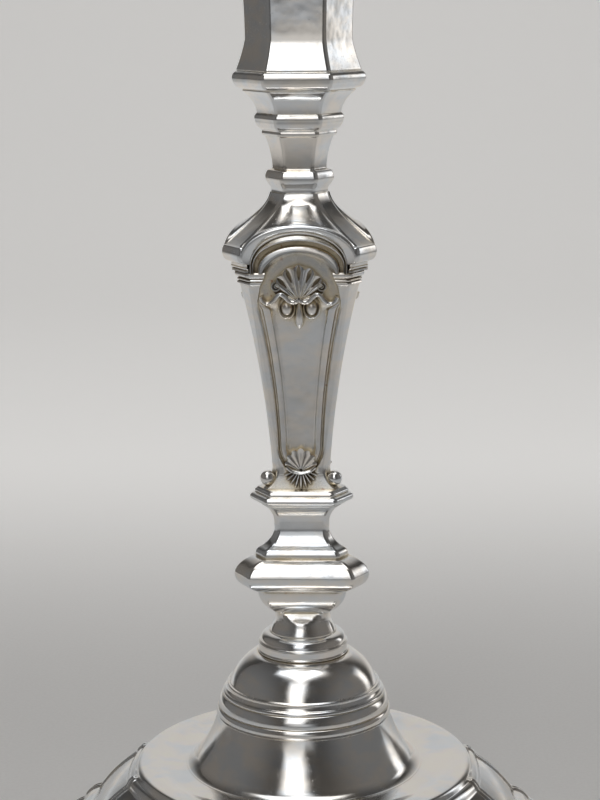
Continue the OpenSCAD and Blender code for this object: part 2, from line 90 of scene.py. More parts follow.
# Places across each wide face, as shares of its half width
ACROSS = (-0.8, -0.6, -0.4, -0.2, 0.0, 0.2, 0.4, 0.6, 0.8)
PLINTH_CORNER = (1.22, 0.4)
PLINTH_FACE = [
    (8.8, 0, 0), (9.3, 0.35, 0), (9.3, 0.75, SOFT), (10.9, 1.75, FULL), (10.3, 3.1, 0), (9.8, 3.3, 0),
    (9.9, 3.6, FULL), (9.5, 4.4, 0), (9.2, 4.8, 0)]
NECK_FACE = [
    (6.75, 0, HOLLOW), (7.25, 2.0, FULL), (7.5, 5.9, 0), (6.35, 6.3, SLACK), (8.1, 14.8, 0),
    (8.6, 15.0, SOFT), (8.7, 16.2, 0), (8.9, 16.5, SOFT), (10.3, 18.9, FULL), (9.85, 20.8, 0)]
SOCKET_FACE = [
    (9.8, 0, HOLLOW), (13.1, 5.7, 0), (13.0, 6.1, 0), (13.9, 6.4, SOFT), (15.3, 8.5, FULL), (14.6, 10.8, 0),
    (14.25, 10.95, 0), (14.4, 11.3, -0.02), (12.35, 19.0, -0.01), (13.15, 37.0, 0), (13.45, 37.0, HOLLOW),
    (14.6, 40.0, 0), (15.0, 40.0, SOFT), (14.6, 42.0, 0)]
SOCKET_BORE = 11.25
WELL_FLOOR = 7.8
ROD_BORE = 2.6

# Drip pan: reach or radius and height above the foot of its sleeve
SLEEVE_OUT, SLEEVE_IN, SLEEVE_FLOOR, PAN_RING = 10.95, 10.15, 1.0, 11.25
PAN_UNDER = [(14.6, 20.0, HOLLOW), (19.9, 21.3, SOFT), (20.6, 22.4, FULL), (20.1, 23.0, 0)]
PAN_DISH = [(19.6, 22.9, HOLLOW), (14.2, 21.1, 0), (12.2, 21.0, 0)]
PAN_TOP = 22.0
# Ring round the sleeve: spread of its foot and easing of its edges, then the pan's corners, in arrises
RING_FOOT, RING_EASE = 0.2, 0.25
PAN_SOFTER = 2.0

# Foot: reach and height of its border from the table to the plateau
FOOT_BORDER = [
    (72.5, 0, 0), (72.5, 2.2, 0), (70.5, 2.2, SOFT), (65.8, 6.35, 0), (65.5, 6.85, SOFT), (61.15, 11.0, 0),
    (60.4, 11.0, 0.05), (49.3, 22.3, 0), (49.0, 22.8, SOFT), (47.0, 24.8, 0), (46.8, 25.3, FULL),
    (44.7, 26.6, 0), (43.6, 26.6, 0)]
PLATEAU_EDGE = 46.9
FOOT_DISH = [
    (41.6, 26.6), (40.9, 26.53), (40.2, 26.38), (39.4, 26.2), (38.6, 26.06), (37.8, 26.0), (26.7, 26.0),
    (26.7, 24.2), (41.0, 24.2)]
FOOT_INNER = [(44.5, 22.85), (53.2, 14.1), (58.6, 9.2), (64.0, 4.55), (70.7, 0.4), (70.7, 0)]
FOOT_SIDES = 12
# Mitre cord beside each corner: inset from the corner and stand as a share of its full height
MITRE_CORD = [(1.55, 0.0), (1.4, 0.35), (1.1, 0.82), (0.8, 1.0), (0.5, 0.85), (0.2, 0.4), (0.03, 0.1)]
MITRE_PROUD = 0.5
SIDE_BOW = 0.6
SIDE_SHARES = (-0.8, -0.55, -0.3, 0.0, 0.3, 0.55, 0.8)

# Turned pieces: radius, height above the table and swell
BELL_OUT = [
    (32.8, 26.0, 0), (32.8, 26.06, 0), (32.4, 26.08, HOLLOW), (29.5, 28.6, SLACK), (23.75, 40.2, 0),
    (24.05, 40.45, SOFT), (23.75, 42.65, 0), (23.35, 42.85, 0), (23.6, 43.05, 0.1), (22.55, 46.15, 0),
    (22.2, 46.3, 0), (22.35, 46.45, FULL), (21.95, 47.35, 0), (21.6, 47.5, HOLLOW), (21.05, 48.95, 0),
    (21.15, 49.1, SOFT), (20.85, 49.4, 0), (20.35, 49.45, 0.1), (12.7, 58.0, 0)]
BELL_IN = [(11.9, 56.2), (19.0, 46.8), (20.8, 40.2), (24.8, 27.8), (24.8, 24.4), (26.6, 24.4), (26.6, 26.0)]
COLLAR_OUT = [
    (12.2, 58.0, 0), (12.4, 58.15, FULL), (12.35, 58.6, 0), (12.1, 58.75, 0), (12.15, 60.5, 0),
    (12.3, 60.65, FULL), (12.2, 61.05, 0), (11.85, 61.25, FULL), (9.7, 63.7, 0), (9.2, 63.8, 0),
    (9.2, 64.2, 0)]

# Baluster: heights above the table
SHAFT_FOOT, SHAFT_TOP = 111.0, 161.0
FACE_LEAN = 0.10863
FACE_FOOT = 5.7
FACE_HOLLOW = 1.35
CORNER_FOOT, CORNER_TOP = 8.32, 16.7
FLARE = (6.5, 105.2)
FLARE_CORNER = (11.5, 105.2)
FLARE_STEPS = 10
FLARE_BEND = 2.2
CORE_TOP = 174.0
# Above the capitals the core runs on inside the shoulder: its inset there, and the lift of its first ring
CORE_INSET, CORE_LIFT = 1.2, 0.02
# The corners stop growing this far past their reach at the top of the shaft
CORNER_SPARE = 0.1
# Lines of the panel moulding: half width at the foot and at the top, stand off the face and fall of its cup
PANEL_FOOT, PANEL_TOP = 117.2, 154.3
PANEL_SPREAD = 0.3
PANEL_LINES = [
    (3.1, 6.15, -0.95, 2.4), (3.5, 6.8, -0.8, 4.0), (3.85, 7.4, -0.35, 5.2), (4.05, 7.65, 0.0, 5.6),
    (4.6, 8.55, 0.12, 6.2), (5.15, 9.4, 0.0, 6.7), (5.35, 9.75, -0.55, 7.0), (5.65, 10.2, -0.6, 7.3),
    (5.9, 10.5, -0.15, 7.7), (6.3, 11.0, 0.12, 8.3)]
FIELD_START = 157.0
FIELD_HALF, FIELD_STEP, FIELD_FLARE = (8.4, 10.45), 0.05, 6.2
FIELD_REACH = (9.9, 10.85)
# Rings along the panel, along the niche's start, and at shares of each cup's fall. Lines that meet keep a gap
PANEL_STEPS, FIELD_STEPS = 10, 8
CUP_SHARES = (0.2, 0.5, 0.75, 0.9, 0.97, 1.001)
LINE_GAP = 0.01
# Capital beads on the corners: height and stand, and the share of it that the wide faces have
CAPITAL_FACE = 0.6
CAPITAL = [
    (160.9, 0), (161.0, 0.1), (161.2, 0.5), (161.5, 0.65), (161.85, 0.5), (161.95, 0.05), (162.1, 0.0),
    (162.2, 0.4), (162.45, 0.55), (162.7, 0.4), (162.8, 0.0), (162.95, 0.05), (163.1, 0.7), (163.4, 1.05),
    (163.9, 1.15), (164.3, 1.05), (164.6, 0.7), (164.7, 0.1)]

# Arch over each panel: half width, height of the crown, rise and reach of each line, outside first
ARCH_LINES = [
    (13.2, 176.0, 8.8, 10.5), (12.65, 175.5, 8.5, 13.4), (12.5, 175.25, 8.3, 13.45),
    (12.35, 174.95, 8.1, 13.3), (12.3, 174.8, 8.0, 12.7), (12.2, 174.6, 7.9, 12.7),
    (12.1, 174.45, 7.8, 13.0), (12.0, 174.0, 7.4, 13.2), (11.95, 173.6, 7.1, 13.4),
    (11.85, 173.2, 6.8, 13.3), (11.7, 173.0, 6.6, 12.4), (11.55, 172.8, 6.5, 11.0),
    (10.65, 171.8, 5.9, 10.9), (10.5, 171.6, 6.0, 12.0), (10.45, 171.5, 6.0, 12.5),
    (10.2, 170.85, 6.8, 12.75), (10.0, 170.15, 7.65, 12.65), (9.9, 169.95, 7.6, 12.4),
    (9.7, 169.7, 7.7, 11.6), (9.4, 169.3, 8.0, 10.9), (9.2, 169.1, 8.2, 10.2)]
ARCH_LEG = 164.4
ARCH_STEPS = 48
# Shoulder: height over the middle of a wide face, fullness of its arch, reach there, then reach of the
# wide face and of the corner beside the arris, their height and the greatest half width of the arch
FOOT_ARCH, FOOT_HALF = (175.3, 1.0, 10.5), 12.6
FOOT_CORNERS = [
    (12.3, 17.9, 164.5), (12.7, 18.4, 164.75), (12.7, 18.4, 165.15), (12.5, 18.15, 165.35),
    (12.7, 18.5, 165.55), (12.9, 18.9, 166.0), (12.75, 18.7, 166.2)]
FOOT_TOP = (175.4, 1.0, 12.4, 12.9, 18.8, 166.8, 12.6)
ROLL_EDGE = (175.5, 1.0, 13.4, 13.1, 18.9, 167.0, 12.7)
ROLL_NOSE = (176.7, 0.98, 14.8, 14.8, 20.9, 169.5, 15.0)
ROLL_TOP = (177.5, 0.96, 13.95, 13.95, 20.2, 171.5, 15.0)
ROLL_STEP = (177.75, 0.95, 13.4, 13.4, 19.6, 171.85, 15.0)
ROLL_STEPS = 8
# Hollow of the shoulder up to the neck: its steps and where its curve bends, then the seat of the neck
HOLLOW_STEPS = 18
HOLLOW_IN, HOLLOW_UP = 0.93, 0.68
NECK_SEAT = (7.0, 184.6)
SEAT_SOFT, SEAT_SHARE = 3.0, 0.45

# Applied ornament on the front face: side, height and reach in millimetres
SHELL_ROOT, SHELL_REACH = 157.2, 11.1
PALMETTE_ROOT, PALMETTE_LENGTH = 110.3, 6.2
# Fans: spread, length at the sides, thickness, depth of the flutes or swell of the lobes, lip and scallops
SHELL_FAN = dict(spread=radians(150), side_share=0.74, body=1.15, flute=-0.85, lip=0.45, scallop=0.12)
PALMETTE_FAN = dict(spread=radians(150), side_share=0.7, body=0.6, flute=0.3, lip=0.2, scallop=0.14)
LOBE_STEPS, FAN_STEPS = 10, 12
# Shares of a fan's length where it starts and where its lip starts, thickness at root and rim, the bend of
# its side lobes and of its flutes, and how far its back is sunk
FAN_START, LIP_START = 0.1, 0.8
FAN_BODY = (1.15, 0.85)
SIDE_BEND, FLUTE_BEND = 1.6, 0.7
FAN_BACK = 1.5
# Beads: place, how far they stand proud of or sink into the face, half widths, depths and sides
WAVE = [
    (0, 157.5), (-1.3, 156.9), (-2.6, 157.2), (-3.6, 158.2), (-4.6, 158.9), (-5.5, 158.7), (-6.4, 157.5),
    (-7.4, 156.7), (-8.5, 156.5), (-9.5, 157.1), (-10.0, 158.2)]
WAVE_PROUD, WAVE_WIDTHS, WAVE_DEPTHS, WAVE_SIDES = 0.55, (0.75, 0.55), (1.15, 0.8), 14
PENDANT = [
    (0.45, 157.4), (0.6, 156.4), (0.8, 155.2), (1.05, 153.6), (1.15, 152.2), (1.0, 151.0), (0.6, 150.0),
    (0.15, 149.4)]
PENDANT_SUNK, PENDANT_DEPTH, PENDANT_SIDES = 0.2, (1.1, 0.3), 14
DROP_PLACE, DROP_SIZE, DROP_SUNK, DROP_FACETS = (3.25, 155.2), (1.5, 1.3, 2.2), 0.2, (24, 14)
BORDER_SPREAD, BORDER_WIDTH, BORDER_DEPTH, BORDER_STEPS, BORDER_SIDES = (1.42, 1.3), 0.26, 0.55, 32, 8
VOLUTE_PLACE, VOLUTE_TURNS, VOLUTE_SIZE, VOLUTE_PROUD = (5.9, 160.9), 1.6, 1.35, 0.5
VOLUTE_START, VOLUTE_CLOSES, VOLUTE_STEPS = pi * 0.6, 0.85, 34
VOLUTE_WIDTHS, VOLUTE_DEPTH = (0.36, 0.24), (0.9, 0.4)
PALMETTE_BAR = [(-3.9, 111.3), (-2.4, 110.2), (0, 109.7), (2.4, 110.2), (3.9, 111.3)]
BAR_PROUD, BAR_WIDTH, BAR_DEPTH, BAR_SIDES = 0.35, 0.65, 1.1, 12
RAY_ROOT, RAY_LENGTH, RAY_SPREAD, RAY_FALL = 111.0, 5.7, radians(130), 0.12
RAY_SHARES = (0.35, 0.5, 0.64, 0.78, 0.9, 0.98)
RAY_WIDTHS = (0.2, 0.3, 0.4, 0.46, 0.44, 0.2)
RAY_PROUD, RAY_DEEPER = 0.1, 0.5
BALL_PLACE, BALL_SIZE, BALL_FACETS = (10.4, 108.05), 2.05, (32, 20)
PEG_WIDTHS, PEG_LENGTH, PEG_BACK, PEG_FACETS = (0.9, 0.65), 3.0, 1.6, 24

# Finishes: noise scales per metre, and the values between which a mark comes up
SMUDGE_SCALE, SMUDGE_RANGE = 160.0, (0.38, 0.72)
BLOOM_SCALE, BLOOM_RANGE = (90, 90, 170), (0.35, 0.65)
RUB_AROUND, RUB_DOWN, RUB_TURN, RUB_HEIGHT = (260, 260, 7200), (5200, 5200, 300), (0.2, 0.35, 0), 0.006
UNEVEN_SCALE, RIPPLE_SCALE, RIPPLE_HEIGHT = 95.0, 310.0, 0.16
PIT_SCALE, PIT_RANGE, PIT_DEPTH = 2600.0, (0.76, 0.84), 0.06
PATCH_SCALE, STRAW_PATCH, OXIDE_SHADE_PATCH = 240.0, 0.4, 0.3
STRAW_RANGE = (0.34, 0.66)
# The oxide mask is dark tarnish and painted shade in creases, found by ambient occlusion
OXIDE_SHADE_RANGE, OXIDE_SHADE_MOST = (0.42, 0.78), 0.86
SPOT_SCALE, SPOT_RANGE, SPOT_SHELTER = 520.0, (0.66, 0.72), (0.18, 0.4)
# How far the films cover the metal, how dull straw is, and the height of the relief in metres
STRAW_COVER, SPOT_COVER, STRAW_DULL = 0.75, 0.8, 0.3
RELIEF_HEIGHT = 0.0006
SHELTER_SAMPLES = 8

# Stage in metres: place, aim, width and height of each lamp, and its power in watts
LAMPS = [
    ("front_lamp", (-0.16, -0.9, 0.85), (0, 0, 0.12), (0.7, 1.35), 6.0),
    ("front_card", (-0.1, -1.7, 0.32), (0, 0, 0.2), (1.5, 0.9), 2.2),
    ("top_lamp", (-0.05, -0.05, 1.35), (0, 0, 0), (1.2, 1.2), 17.0),
    ("back_lamp", (0.0, 0.75, 1.5), (0, 1.5, 0.5), (0.9, 0.3), 2.0),
    ("right_lamp", (0.92, 0.6, 0.35), (0, 0, 0.1), (0.34, 0.8), 1.1)]
# Lamps fade from near their middle to their edges, and the room is lighter to its sides
LAMP_MIDDLE, LAMP_FADE = 0.5, (0.06, 0.5)
ROOM_FADE = (0.3, 0.95)
# Sweep of paper: half width, front and rear edge, radius of its bend and height of the backdrop
SWEEP_HALF, SWEEP_FRONT, SWEEP_REAR, SWEEP_BEND, SWEEP_TOP = 1.6, -1.65, 1.5, 0.5, 1.8
BEND_STEPS = 12
# Paper: its flecks, its tones as shares of its colour, and where the middle, the near floor and the glow
# fade. The near tone is painted shade on the floor before the object and far aside.
FLECK_SCALE, FLECK_RANGE = 900.0, (0.3, 0.7)
FLECK_TONE, NEAR_SHADE_TONE, GLOW_TONE = 0.97, 0.45, 0.42
MIDDLE_FADE, NEAR_SHADE_FADE, GLOW_FADE = (0.35, 1.3), (-0.6, -0.08), (0.08, 0.5)
PAPER_ROUGHNESS = 0.85
SENSOR_HEIGHT = 36.0


def heading(angle):
    """Unit vector in the level plane."""
    return Vector((cos(angle), sin(angle), 0.0))


def between(a, b, share):
    """Value or tuple at a share of the way from a to b."""
    if isinstance(a, tuple):
        return tuple(between(x, y, share) for x, y in zip(a, b))
    return a + (b - a) * share


def evenly(low, high, steps):
    """Evenly spaced values from low to high."""
    return [between(low, high, i / steps) for i in range(steps + 1)]


def looked_up(table, height):
    """Reach at a height, read off (reach, height) points that rise."""
    for (x, z), (x2, z2) in zip(table, table[1:]):
        if height <= z2:
            return between(x, x2, max(0.0, (height - z) / (z2 - z)))
    return table[-1][0]


def curved(points, steps=CURVE_STEPS):
    """Points along a moulding whose stretches swell out or in."""
    path = []
    for (x, y, swell), (x2, y2, _) in zip(points, points[1:]):
        mid = ((x + x2) / 2 + 2 * swell * (y2 - y), (y + y2) / 2 - 2 * swell * (x2 - x))
        for i in range(steps if swell else 1):
            t = i / steps
            path.append(between(between((x, y), mid, t), between(mid, (x2, y2), t), t))
    path.append(points[-1][:2])
    return path


def softened(path, size):
    """The same path with its sharp turns rounded, as handling wears them."""
    worn = [path[0]]
    for before, here, after in zip(path, path[1:], path[2:]):
        corner = Vector(here)
        a, b = Vector(before) - corner, Vector(after) - corner
        if min(a.length, b.length) < TOUCHING or pi - a.angle(b) < SHARP_TURN:
            worn.append(here)
            continue
        start = corner + a * min(WORN_SHARE, size / a.length)
        end = corner + b * min(WORN_SHARE, size / b.length)
        for i in range(WEAR_POINTS):
            t = i / (WEAR_POINTS - 1)
            worn.append(tuple(start.lerp(corner, t).lerp(corner.lerp(end, t), t)))
    worn.append(path[-1])
    return worn


def at_height(point, height):
    """Level point in millimetres lifted to a height, in metres."""
    return Vector((point.x, point.y, height)) * MM


def arrises(wide, corner, soft):
    """The six rounded arrises of a section, from the front face round to the right."""
    wide = min(wide, 2 * corner - SLIVER)
    corner = min(corner, 2 * wide - SLIVER)
    soft = min(soft, ROUNDED_SHARE * (2 * corner - wide), ROUNDED_SHARE * (2 * wide - corner))
    arcs = []
    for k in range(6):
        here, after = (wide, corner) if k % 2 == 0 else (corner, wide)
        turn = FRONT + k * SIXTH
        across = ((after - soft) - (here - soft) * cos(SIXTH)) / sin(SIXTH)
        centre = heading(turn) * (here - soft) + heading(turn + pi / 2) * across
        arcs.append([centre + heading(turn + SIXTH * i / ARRIS_STEPS) * soft for i in range(ARRIS_STEPS + 1)])
    return arcs


def section(wide, corner, height, soft, panel=()):
    """Ring round the stem, with points of a panel (side, stand) across each wide face."""
    ring = []
    for k, arc in enumerate(arrises(wide, corner, soft)):
        if k % 2 == 0:
            out, side = heading(FRONT + k * SIXTH), heading(FRONT + k * SIXTH + pi / 2)
            ring += [out * (wide + stand) + side * u for u, stand in panel]
        ring += arc
    return [at_height(p, height) for p in ring]


def round_like(ring, radius, height):
    """Circle with one point for each point of a ring."""
    return [at_height(heading(atan2(p.y, p.x)) * radius, height) for p in ring]


def cut_round(ring, radius, flat, height):
    """Circle cut by three flats, with one point for each point of a ring."""
    points = []
    for p in ring:
        turn = atan2(p.y, p.x)
        off = abs((turn - FRONT + THIRD / 2) % THIRD - THIRD / 2)
        points.append(at_height(heading(turn) * min(radius, flat / cos(off)), height))
    return points


def verts_of(geom):
    """The vertices among what an operator made."""
    return [g for g in geom if isinstance(g, bmesh.types.BMVert)]


def skinned(bm, rings, closed=False):
    """Skin over rings of equal length: each ring's edges are extruded and set on the next ring."""
    verts = [bm.verts.new(p) for p in rings[0]]
    edges = [bm.edges.new(pair) for pair in zip(verts, verts[1:] + verts[:1])]
    first = edges
    for ring in rings[1:]:
        made = set(verts_of(bmesh.ops.extrude_edge_only(bm, edges=edges)["geom"]))
        verts = [next(e.other_vert(v) for e in v.link_edges if e.other_vert(v) in made) for v in verts]
        for vert, place in zip(verts, ring):
            vert.co = place
        edges = [bm.edges.get(pair) for pair in zip(verts, verts[1:] + verts[:1])]
    if not closed:
        bmesh.ops.contextual_create(bm, geom=first)
        bmesh.ops.contextual_create(bm, geom=edges)


def bored(rings, radius):
    """Closes a stack of rings through a round bore from its top to its foot."""
    top, foot = rings[-1], rings[0]
    return rings + [
        round_like(top, radius, top[0].z / MM), round_like(foot, radius, foot[0].z / MM), foot]


def spun(bm, outline):
    """Turned solid from a closed outline of (radius, height) in millimetres."""
    verts = [bm.verts.new((r * MM, 0, z * MM)) for r, z in outline]
    edges = [bm.edges.new(pair) for pair in zip(verts, verts[1:] + verts[:1])]
    bmesh.ops.spin(
        bm, geom=verts + edges, cent=(0, 0, 0), axis=(0, 0, 1), dvec=(0, 0, 0), angle=2 * pi,
        steps=SPIN_STEPS, use_merge=True, use_duplicate=False)


def on_front(side, height, reach):
    """Point before the front face, in metres."""
    return Vector((side, -reach, height)) * MM


def tube(bm, path, widths, depth, sides=10):
    """Rounded bead along points before the front face, standing a depth off them."""
    points = [Vector(p) for p in path]
    rings = []
    for i, point in enumerate(points):
        ahead = points[min(i + 1, len(points) - 1)] - points[max(i - 1, 0)]
        across = Vector((ahead.z, 0, -ahead.x)).normalized()
        rings.append([
            (point + across * widths[i] * cos(a) + Vector((0, -depth[i] * sin(a), 0))) * MM
            for a in (2 * pi * s / sides for s in range(sides))])
    skinned(bm, rings)


def smooth_path(points, steps=5):
    """Rounder path through points, by the usual cubic through each four of them."""
    ends = [points[0]] + list(points) + [points[-1]]
    path = []
    for a, b, c, d in zip(ends, ends[1:], ends[2:], ends[3:]):
        for i in range(steps):
            t = i / steps
            path.append(tuple(
                0.5 * (2 * q + (r - p) * t + (2 * p - 5 * q + 4 * r - s) * t ** 2
                       + (3 * q - p - 3 * r + s) * t ** 3)
                for p, q, r, s in zip(a, b, c, d)))
    return path + [tuple(points[-1])]


def copied(bm, geom):
    """Vertices of a copy."""
    return verts_of(bmesh.ops.duplicate(bm, geom=geom)["geom"])


def on_three_faces(bm):
    """Repeats what the front face carries on the other two wide faces."""
    geom = bm.verts[:] + bm.edges[:] + bm.faces[:]
    for k in (1, 2):
        turned = Matrix.Rotation(k * THIRD, 3, "Z")
        bmesh.ops.rotate(bm, verts=copied(bm, geom), cent=(0, 0, 0), matrix=turned)


def mirrored(bm):
    """Repeats the left half of an ornament on the right."""
    bmesh.ops.scale(bm, verts=copied(bm, bm.verts[:] + bm.edges[:] + bm.faces[:]), vec=(-1, 1, 1))


def placed(name, data):
    """New object in the scene."""
    made = bpy.data.objects.new(name, data)
    bpy.context.scene.collection.objects.link(made)
    return made


def smooth_object(bm, name, finish):
    """Smooth mesh with one finish, as a new object."""
    mesh = bpy.data.meshes.new(name)
    bm.to_mesh(mesh)
    bm.free()
    mesh.polygons.foreach_set("use_smooth", [True] * len(mesh.polygons))
    mesh.materials.append(finish)
    return placed(name, mesh)


def finished(bm, name, finish, body, *nodes):
    """Closes a piece's mesh and puts it on its body in place of its frame nodes."""
    bmesh.ops.remove_doubles(bm, verts=bm.verts, dist=TOUCHING)
    bmesh.ops.dissolve_degenerate(bm, edges=bm.edges, dist=TOUCHING)
    bmesh.ops.recalc_face_normals(bm, faces=bm.faces)
    piece = smooth_object(bm, name, finish)
    piece.data.set_sharp_from_angle(angle=SHADED_EDGE)
    weights = piece.modifiers.new("flat faces stay flat", "WEIGHTED_NORMAL")
    weights.keep_sharp = True
    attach(piece, body)
    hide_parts(*nodes)


def stacked(face, node, gain=1.0, lift=0.0):
    """Rings of a casting from the moulding of its wide face, with corners that reach as far or further."""
    s, seat = sizes(), seat_of(node)
    return [section(a, gain * a + lift, seat + z, s.arris) for a, z in softened(curved(face), s.wear)]


def seat_of(node):
    """Height of a node's seat in millimetres."""
    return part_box(node)[0].z / MM


# Finishes


def shader_group(name, inputs, outputs):
    """Empty shader node group with named sockets, and its input and output nodes."""
    group = bpy.data.node_groups.new(name, "ShaderNodeTree")
    for label, kind in inputs:
        group.interface.new_socket(label, in_out="INPUT", socket_type=kind)
    for label, kind in outputs:
        group.interface.new_socket(label, in_out="OUTPUT", socket_type=kind)
    return group, group.nodes.new("NodeGroupInput"), group.nodes.new("NodeGroupOutput")


class Wiring:
    """Short ways to add and join shader nodes in one tree."""

    def __init__(self, tree):
        self.tree = tree

    def put(self, target, value):
        if hasattr(value, "node"):
            self.tree.links.new(value, target)
        else:
            target.default_value = value

    def node(self, kind, settings=(), **sockets):
        made = self.tree.nodes.new("ShaderNode" + kind)
        for key, value in dict(settings).items():
            setattr(made, key, value)
        for key, value in sockets.items():
            self.put(made.inputs[key.replace("_", " ")], value)
        return made

    def maths(self, operation, a, b=0.0):
        made = self.tree.nodes.new("ShaderNodeMath")
        made.operation = operation
        self.put(made.inputs[0], a)
        self.put(made.inputs[1], b)
        return made.outputs[0]

    def ramp(self, value, low, high, to_low=0.0, to_high=1.0):
        made = self.node(
            "MapRange", {"interpolation_type": "SMOOTHSTEP"}, Value=value, From_Min=low, From_Max=high,
            To_Min=to_low, To_Max=to_high)
        return made.outputs["Result"]

    def noise(self, vector, scale, detail=2.0, roughness=0.5):
        made = self.node("TexNoise", Vector=vector, Scale=scale, Detail=detail, Roughness=roughness)
        return made.outputs["Fac"]

    def stretched(self, vector, scale, turn=(0, 0, 0)):
        return self.node("Mapping", Vector=vector, Scale=scale, Rotation=turn).outputs["Vector"]

    def mixed(self, share, a, b):
        made = self.tree.nodes.new("ShaderNodeMix")
        made.data_type = "RGBA"
        self.put(made.inputs["Factor"], share)
        self.put(made.inputs["A"], a)
        self.put(made.inputs["B"], b)
        return made.outputs["Result"]


def old_polish_group():
    """Hand polish: smudges, cool and warm bloom, rubbing lines and the soft unevenness of a cast face."""
    group, ins, outs = shader_group(
        "old_polish", [("Vector", "NodeSocketVector")],
        [("Smudge", "NodeSocketFloat"), ("Bloom", "NodeSocketFloat"), ("Height", "NodeSocketFloat")])
    w = Wiring(group)
    place = ins.outputs["Vector"]
    smudge = w.ramp(w.noise(place, SMUDGE_SCALE, detail=5.0, roughness=0.65), *SMUDGE_RANGE)
    clouds = w.noise(w.stretched(place, BLOOM_SCALE), 1.0, detail=3.0, roughness=0.6)
    around = w.noise(w.stretched(place, RUB_AROUND), 1.0, detail=3.0)
    down = w.noise(w.stretched(place, RUB_DOWN, RUB_TURN), 1.0)
    rubbed = w.maths("MULTIPLY", w.maths("ADD", around, down), RUB_HEIGHT)
    ripple = w.maths("MULTIPLY", w.noise(place, RIPPLE_SCALE, detail=1.0), RIPPLE_HEIGHT)
    uneven = w.maths("ADD", w.noise(place, UNEVEN_SCALE, roughness=0.4), ripple)
    pits = w.ramp(w.noise(place, PIT_SCALE, detail=0.0), *PIT_RANGE, 0.0, -PIT_DEPTH)
    height = w.maths("ADD", w.maths("ADD", uneven, rubbed), pits)
    w.put(outs.inputs["Smudge"], smudge)
    w.put(outs.inputs["Bloom"], w.ramp(clouds, *BLOOM_RANGE))
    w.put(outs.inputs["Height"], height)
    return group


def tarnish_and_shade_group():
    """Films that polishing leaves in sheltered places: straw, a few brown spots, and dark oxide that is also
    painted shade in creases.
    """
    group, ins, outs = shader_group(
        "tarnish_and_shade",
        [("Vector", "NodeSocketVector"), ("Shelter", "NodeSocketFloat"), ("Crease", "NodeSocketFloat")],
        [("Straw", "NodeSocketFloat"), ("Oxide_and_shade", "NodeSocketFloat"), ("Spots", "NodeSocketFloat")])
    w = Wiring(group)
    place, shelter, crease = (ins.outputs[label] for label in ("Vector", "Shelter", "Crease"))
    patch = w.noise(place, PATCH_SCALE, detail=3.0, roughness=0.6)
    straw = w.ramp(w.maths("ADD", shelter, w.maths("MULTIPLY", patch, STRAW_PATCH)), *STRAW_RANGE)
    dark = w.maths("ADD", crease, w.maths("MULTIPLY", patch, OXIDE_SHADE_PATCH))
    oxide_and_shade = w.ramp(dark, *OXIDE_SHADE_RANGE, 0.0, OXIDE_SHADE_MOST)
    speck = w.ramp(w.noise(place, SPOT_SCALE), *SPOT_RANGE)
    spots = w.maths("MULTIPLY", speck, w.ramp(shelter, *SPOT_SHELTER))
    w.put(outs.inputs["Straw"], straw)
    w.put(outs.inputs["Oxide_and_shade"], oxide_and_shade)
    w.put(outs.inputs["Spots"], spots)
    return group


def new_material(name):
    """Empty material, with its wiring, its shader and the place on the piece."""
    made = bpy.data.materials.new(name)
    made.use_nodes = True
    w = Wiring(made.node_tree)
    return made, w, made.node_tree.nodes["Principled BSDF"], w.node("TexCoord").outputs["Object"]


def metal(name, tones, groups, roughness, rougher, shelter_reach, bump):
    """Polished or dull metal with tarnish in sheltered places, and painted shade where its creases darken to
    the oxide colour.
    """
    colour, bloom, film, oxide_and_shade, spot = (tuple(tone) for tone in tones)
    polish, tarnish_and_shade = groups
    _, w, shader, place = new_material(name)
    rubbed = w.node("Group", {"node_tree": polish}, Vector=place).outputs
    shelter, crease = (
        w.maths("SUBTRACT", 1.0, w.node(
            "AmbientOcclusion", {"samples": SHELTER_SAMPLES}, Distance=reach).outputs["AO"])
        for reach in shelter_reach)
    aged_and_shaded = w.node("Group", {"node_tree": tarnish_and_shade}, Vector=place, Shelter=shelter, Crease=crease).outputs
    tone = w.mixed(rubbed["Bloom"], colour, bloom)
    tone = w.mixed(w.maths("MULTIPLY", aged_and_shaded["Straw"], STRAW_COVER), tone, film)
    tone = w.mixed(w.maths("MULTIPLY", aged_and_shaded["Spots"], SPOT_COVER), tone, spot)
    # Painted shade: creases found by short-range ambient occlusion darken to the oxide colour, as dark
    # tarnish and as shade
    tone = w.mixed(aged_and_shaded["Oxide_and_shade"], tone, oxide_and_shade)
    dull = w.maths("MULTIPLY", rubbed["Smudge"], rougher)
    dull = w.maths("ADD", dull, w.maths("MULTIPLY", aged_and_shaded["Straw"], STRAW_DULL))
    w.put(shader.inputs["Base Color"], tone)
    w.put(shader.inputs["Roughness"], w.maths("ADD", dull, roughness))
    shader.inputs["Metallic"].default_value = 1.0
    relief = w.node("Bump", Strength=bump, Distance=RELIEF_HEIGHT, Height=rubbed["Height"])
    w.put(shader.inputs["Normal"], relief.outputs["Normal"])


# Settings


class CandlestickSizes(bpy.types.PropertyGroup):
    """Sizes of edges and ornament that the frame leaves open."""

    arris: bpy.props.FloatProperty(
        name="Arris", description="Rounding of the stem's arrises, in millimetres",
        default=1.4, min=0.1, max=2.0)
    wear: bpy.props.FloatProperty(
        name="Wear", description="Rounding of the mouldings' edges, in millimetres",
        default=0.3, min=0.05, max=0.5)
    shell_lobes: bpy.props.IntProperty(
        name="Shell flutes", description="Flutes in each upper shell", default=7, min=5, max=9)
    shell_length: bpy.props.FloatProperty(
        name="Shell height", description="Height of the upper shell, in millimetres",
        default=9.4, min=8, max=10)
    palmette_lobes: bpy.props.IntProperty(
        name="Palmette lobes", description="Lobes in each lower shell", default=7, min=5, max=9)
    ray_count: bpy.props.IntProperty(
        name="Palmette rays", description="Rays below the bar of each lower shell", default=9, min=5, max=13)


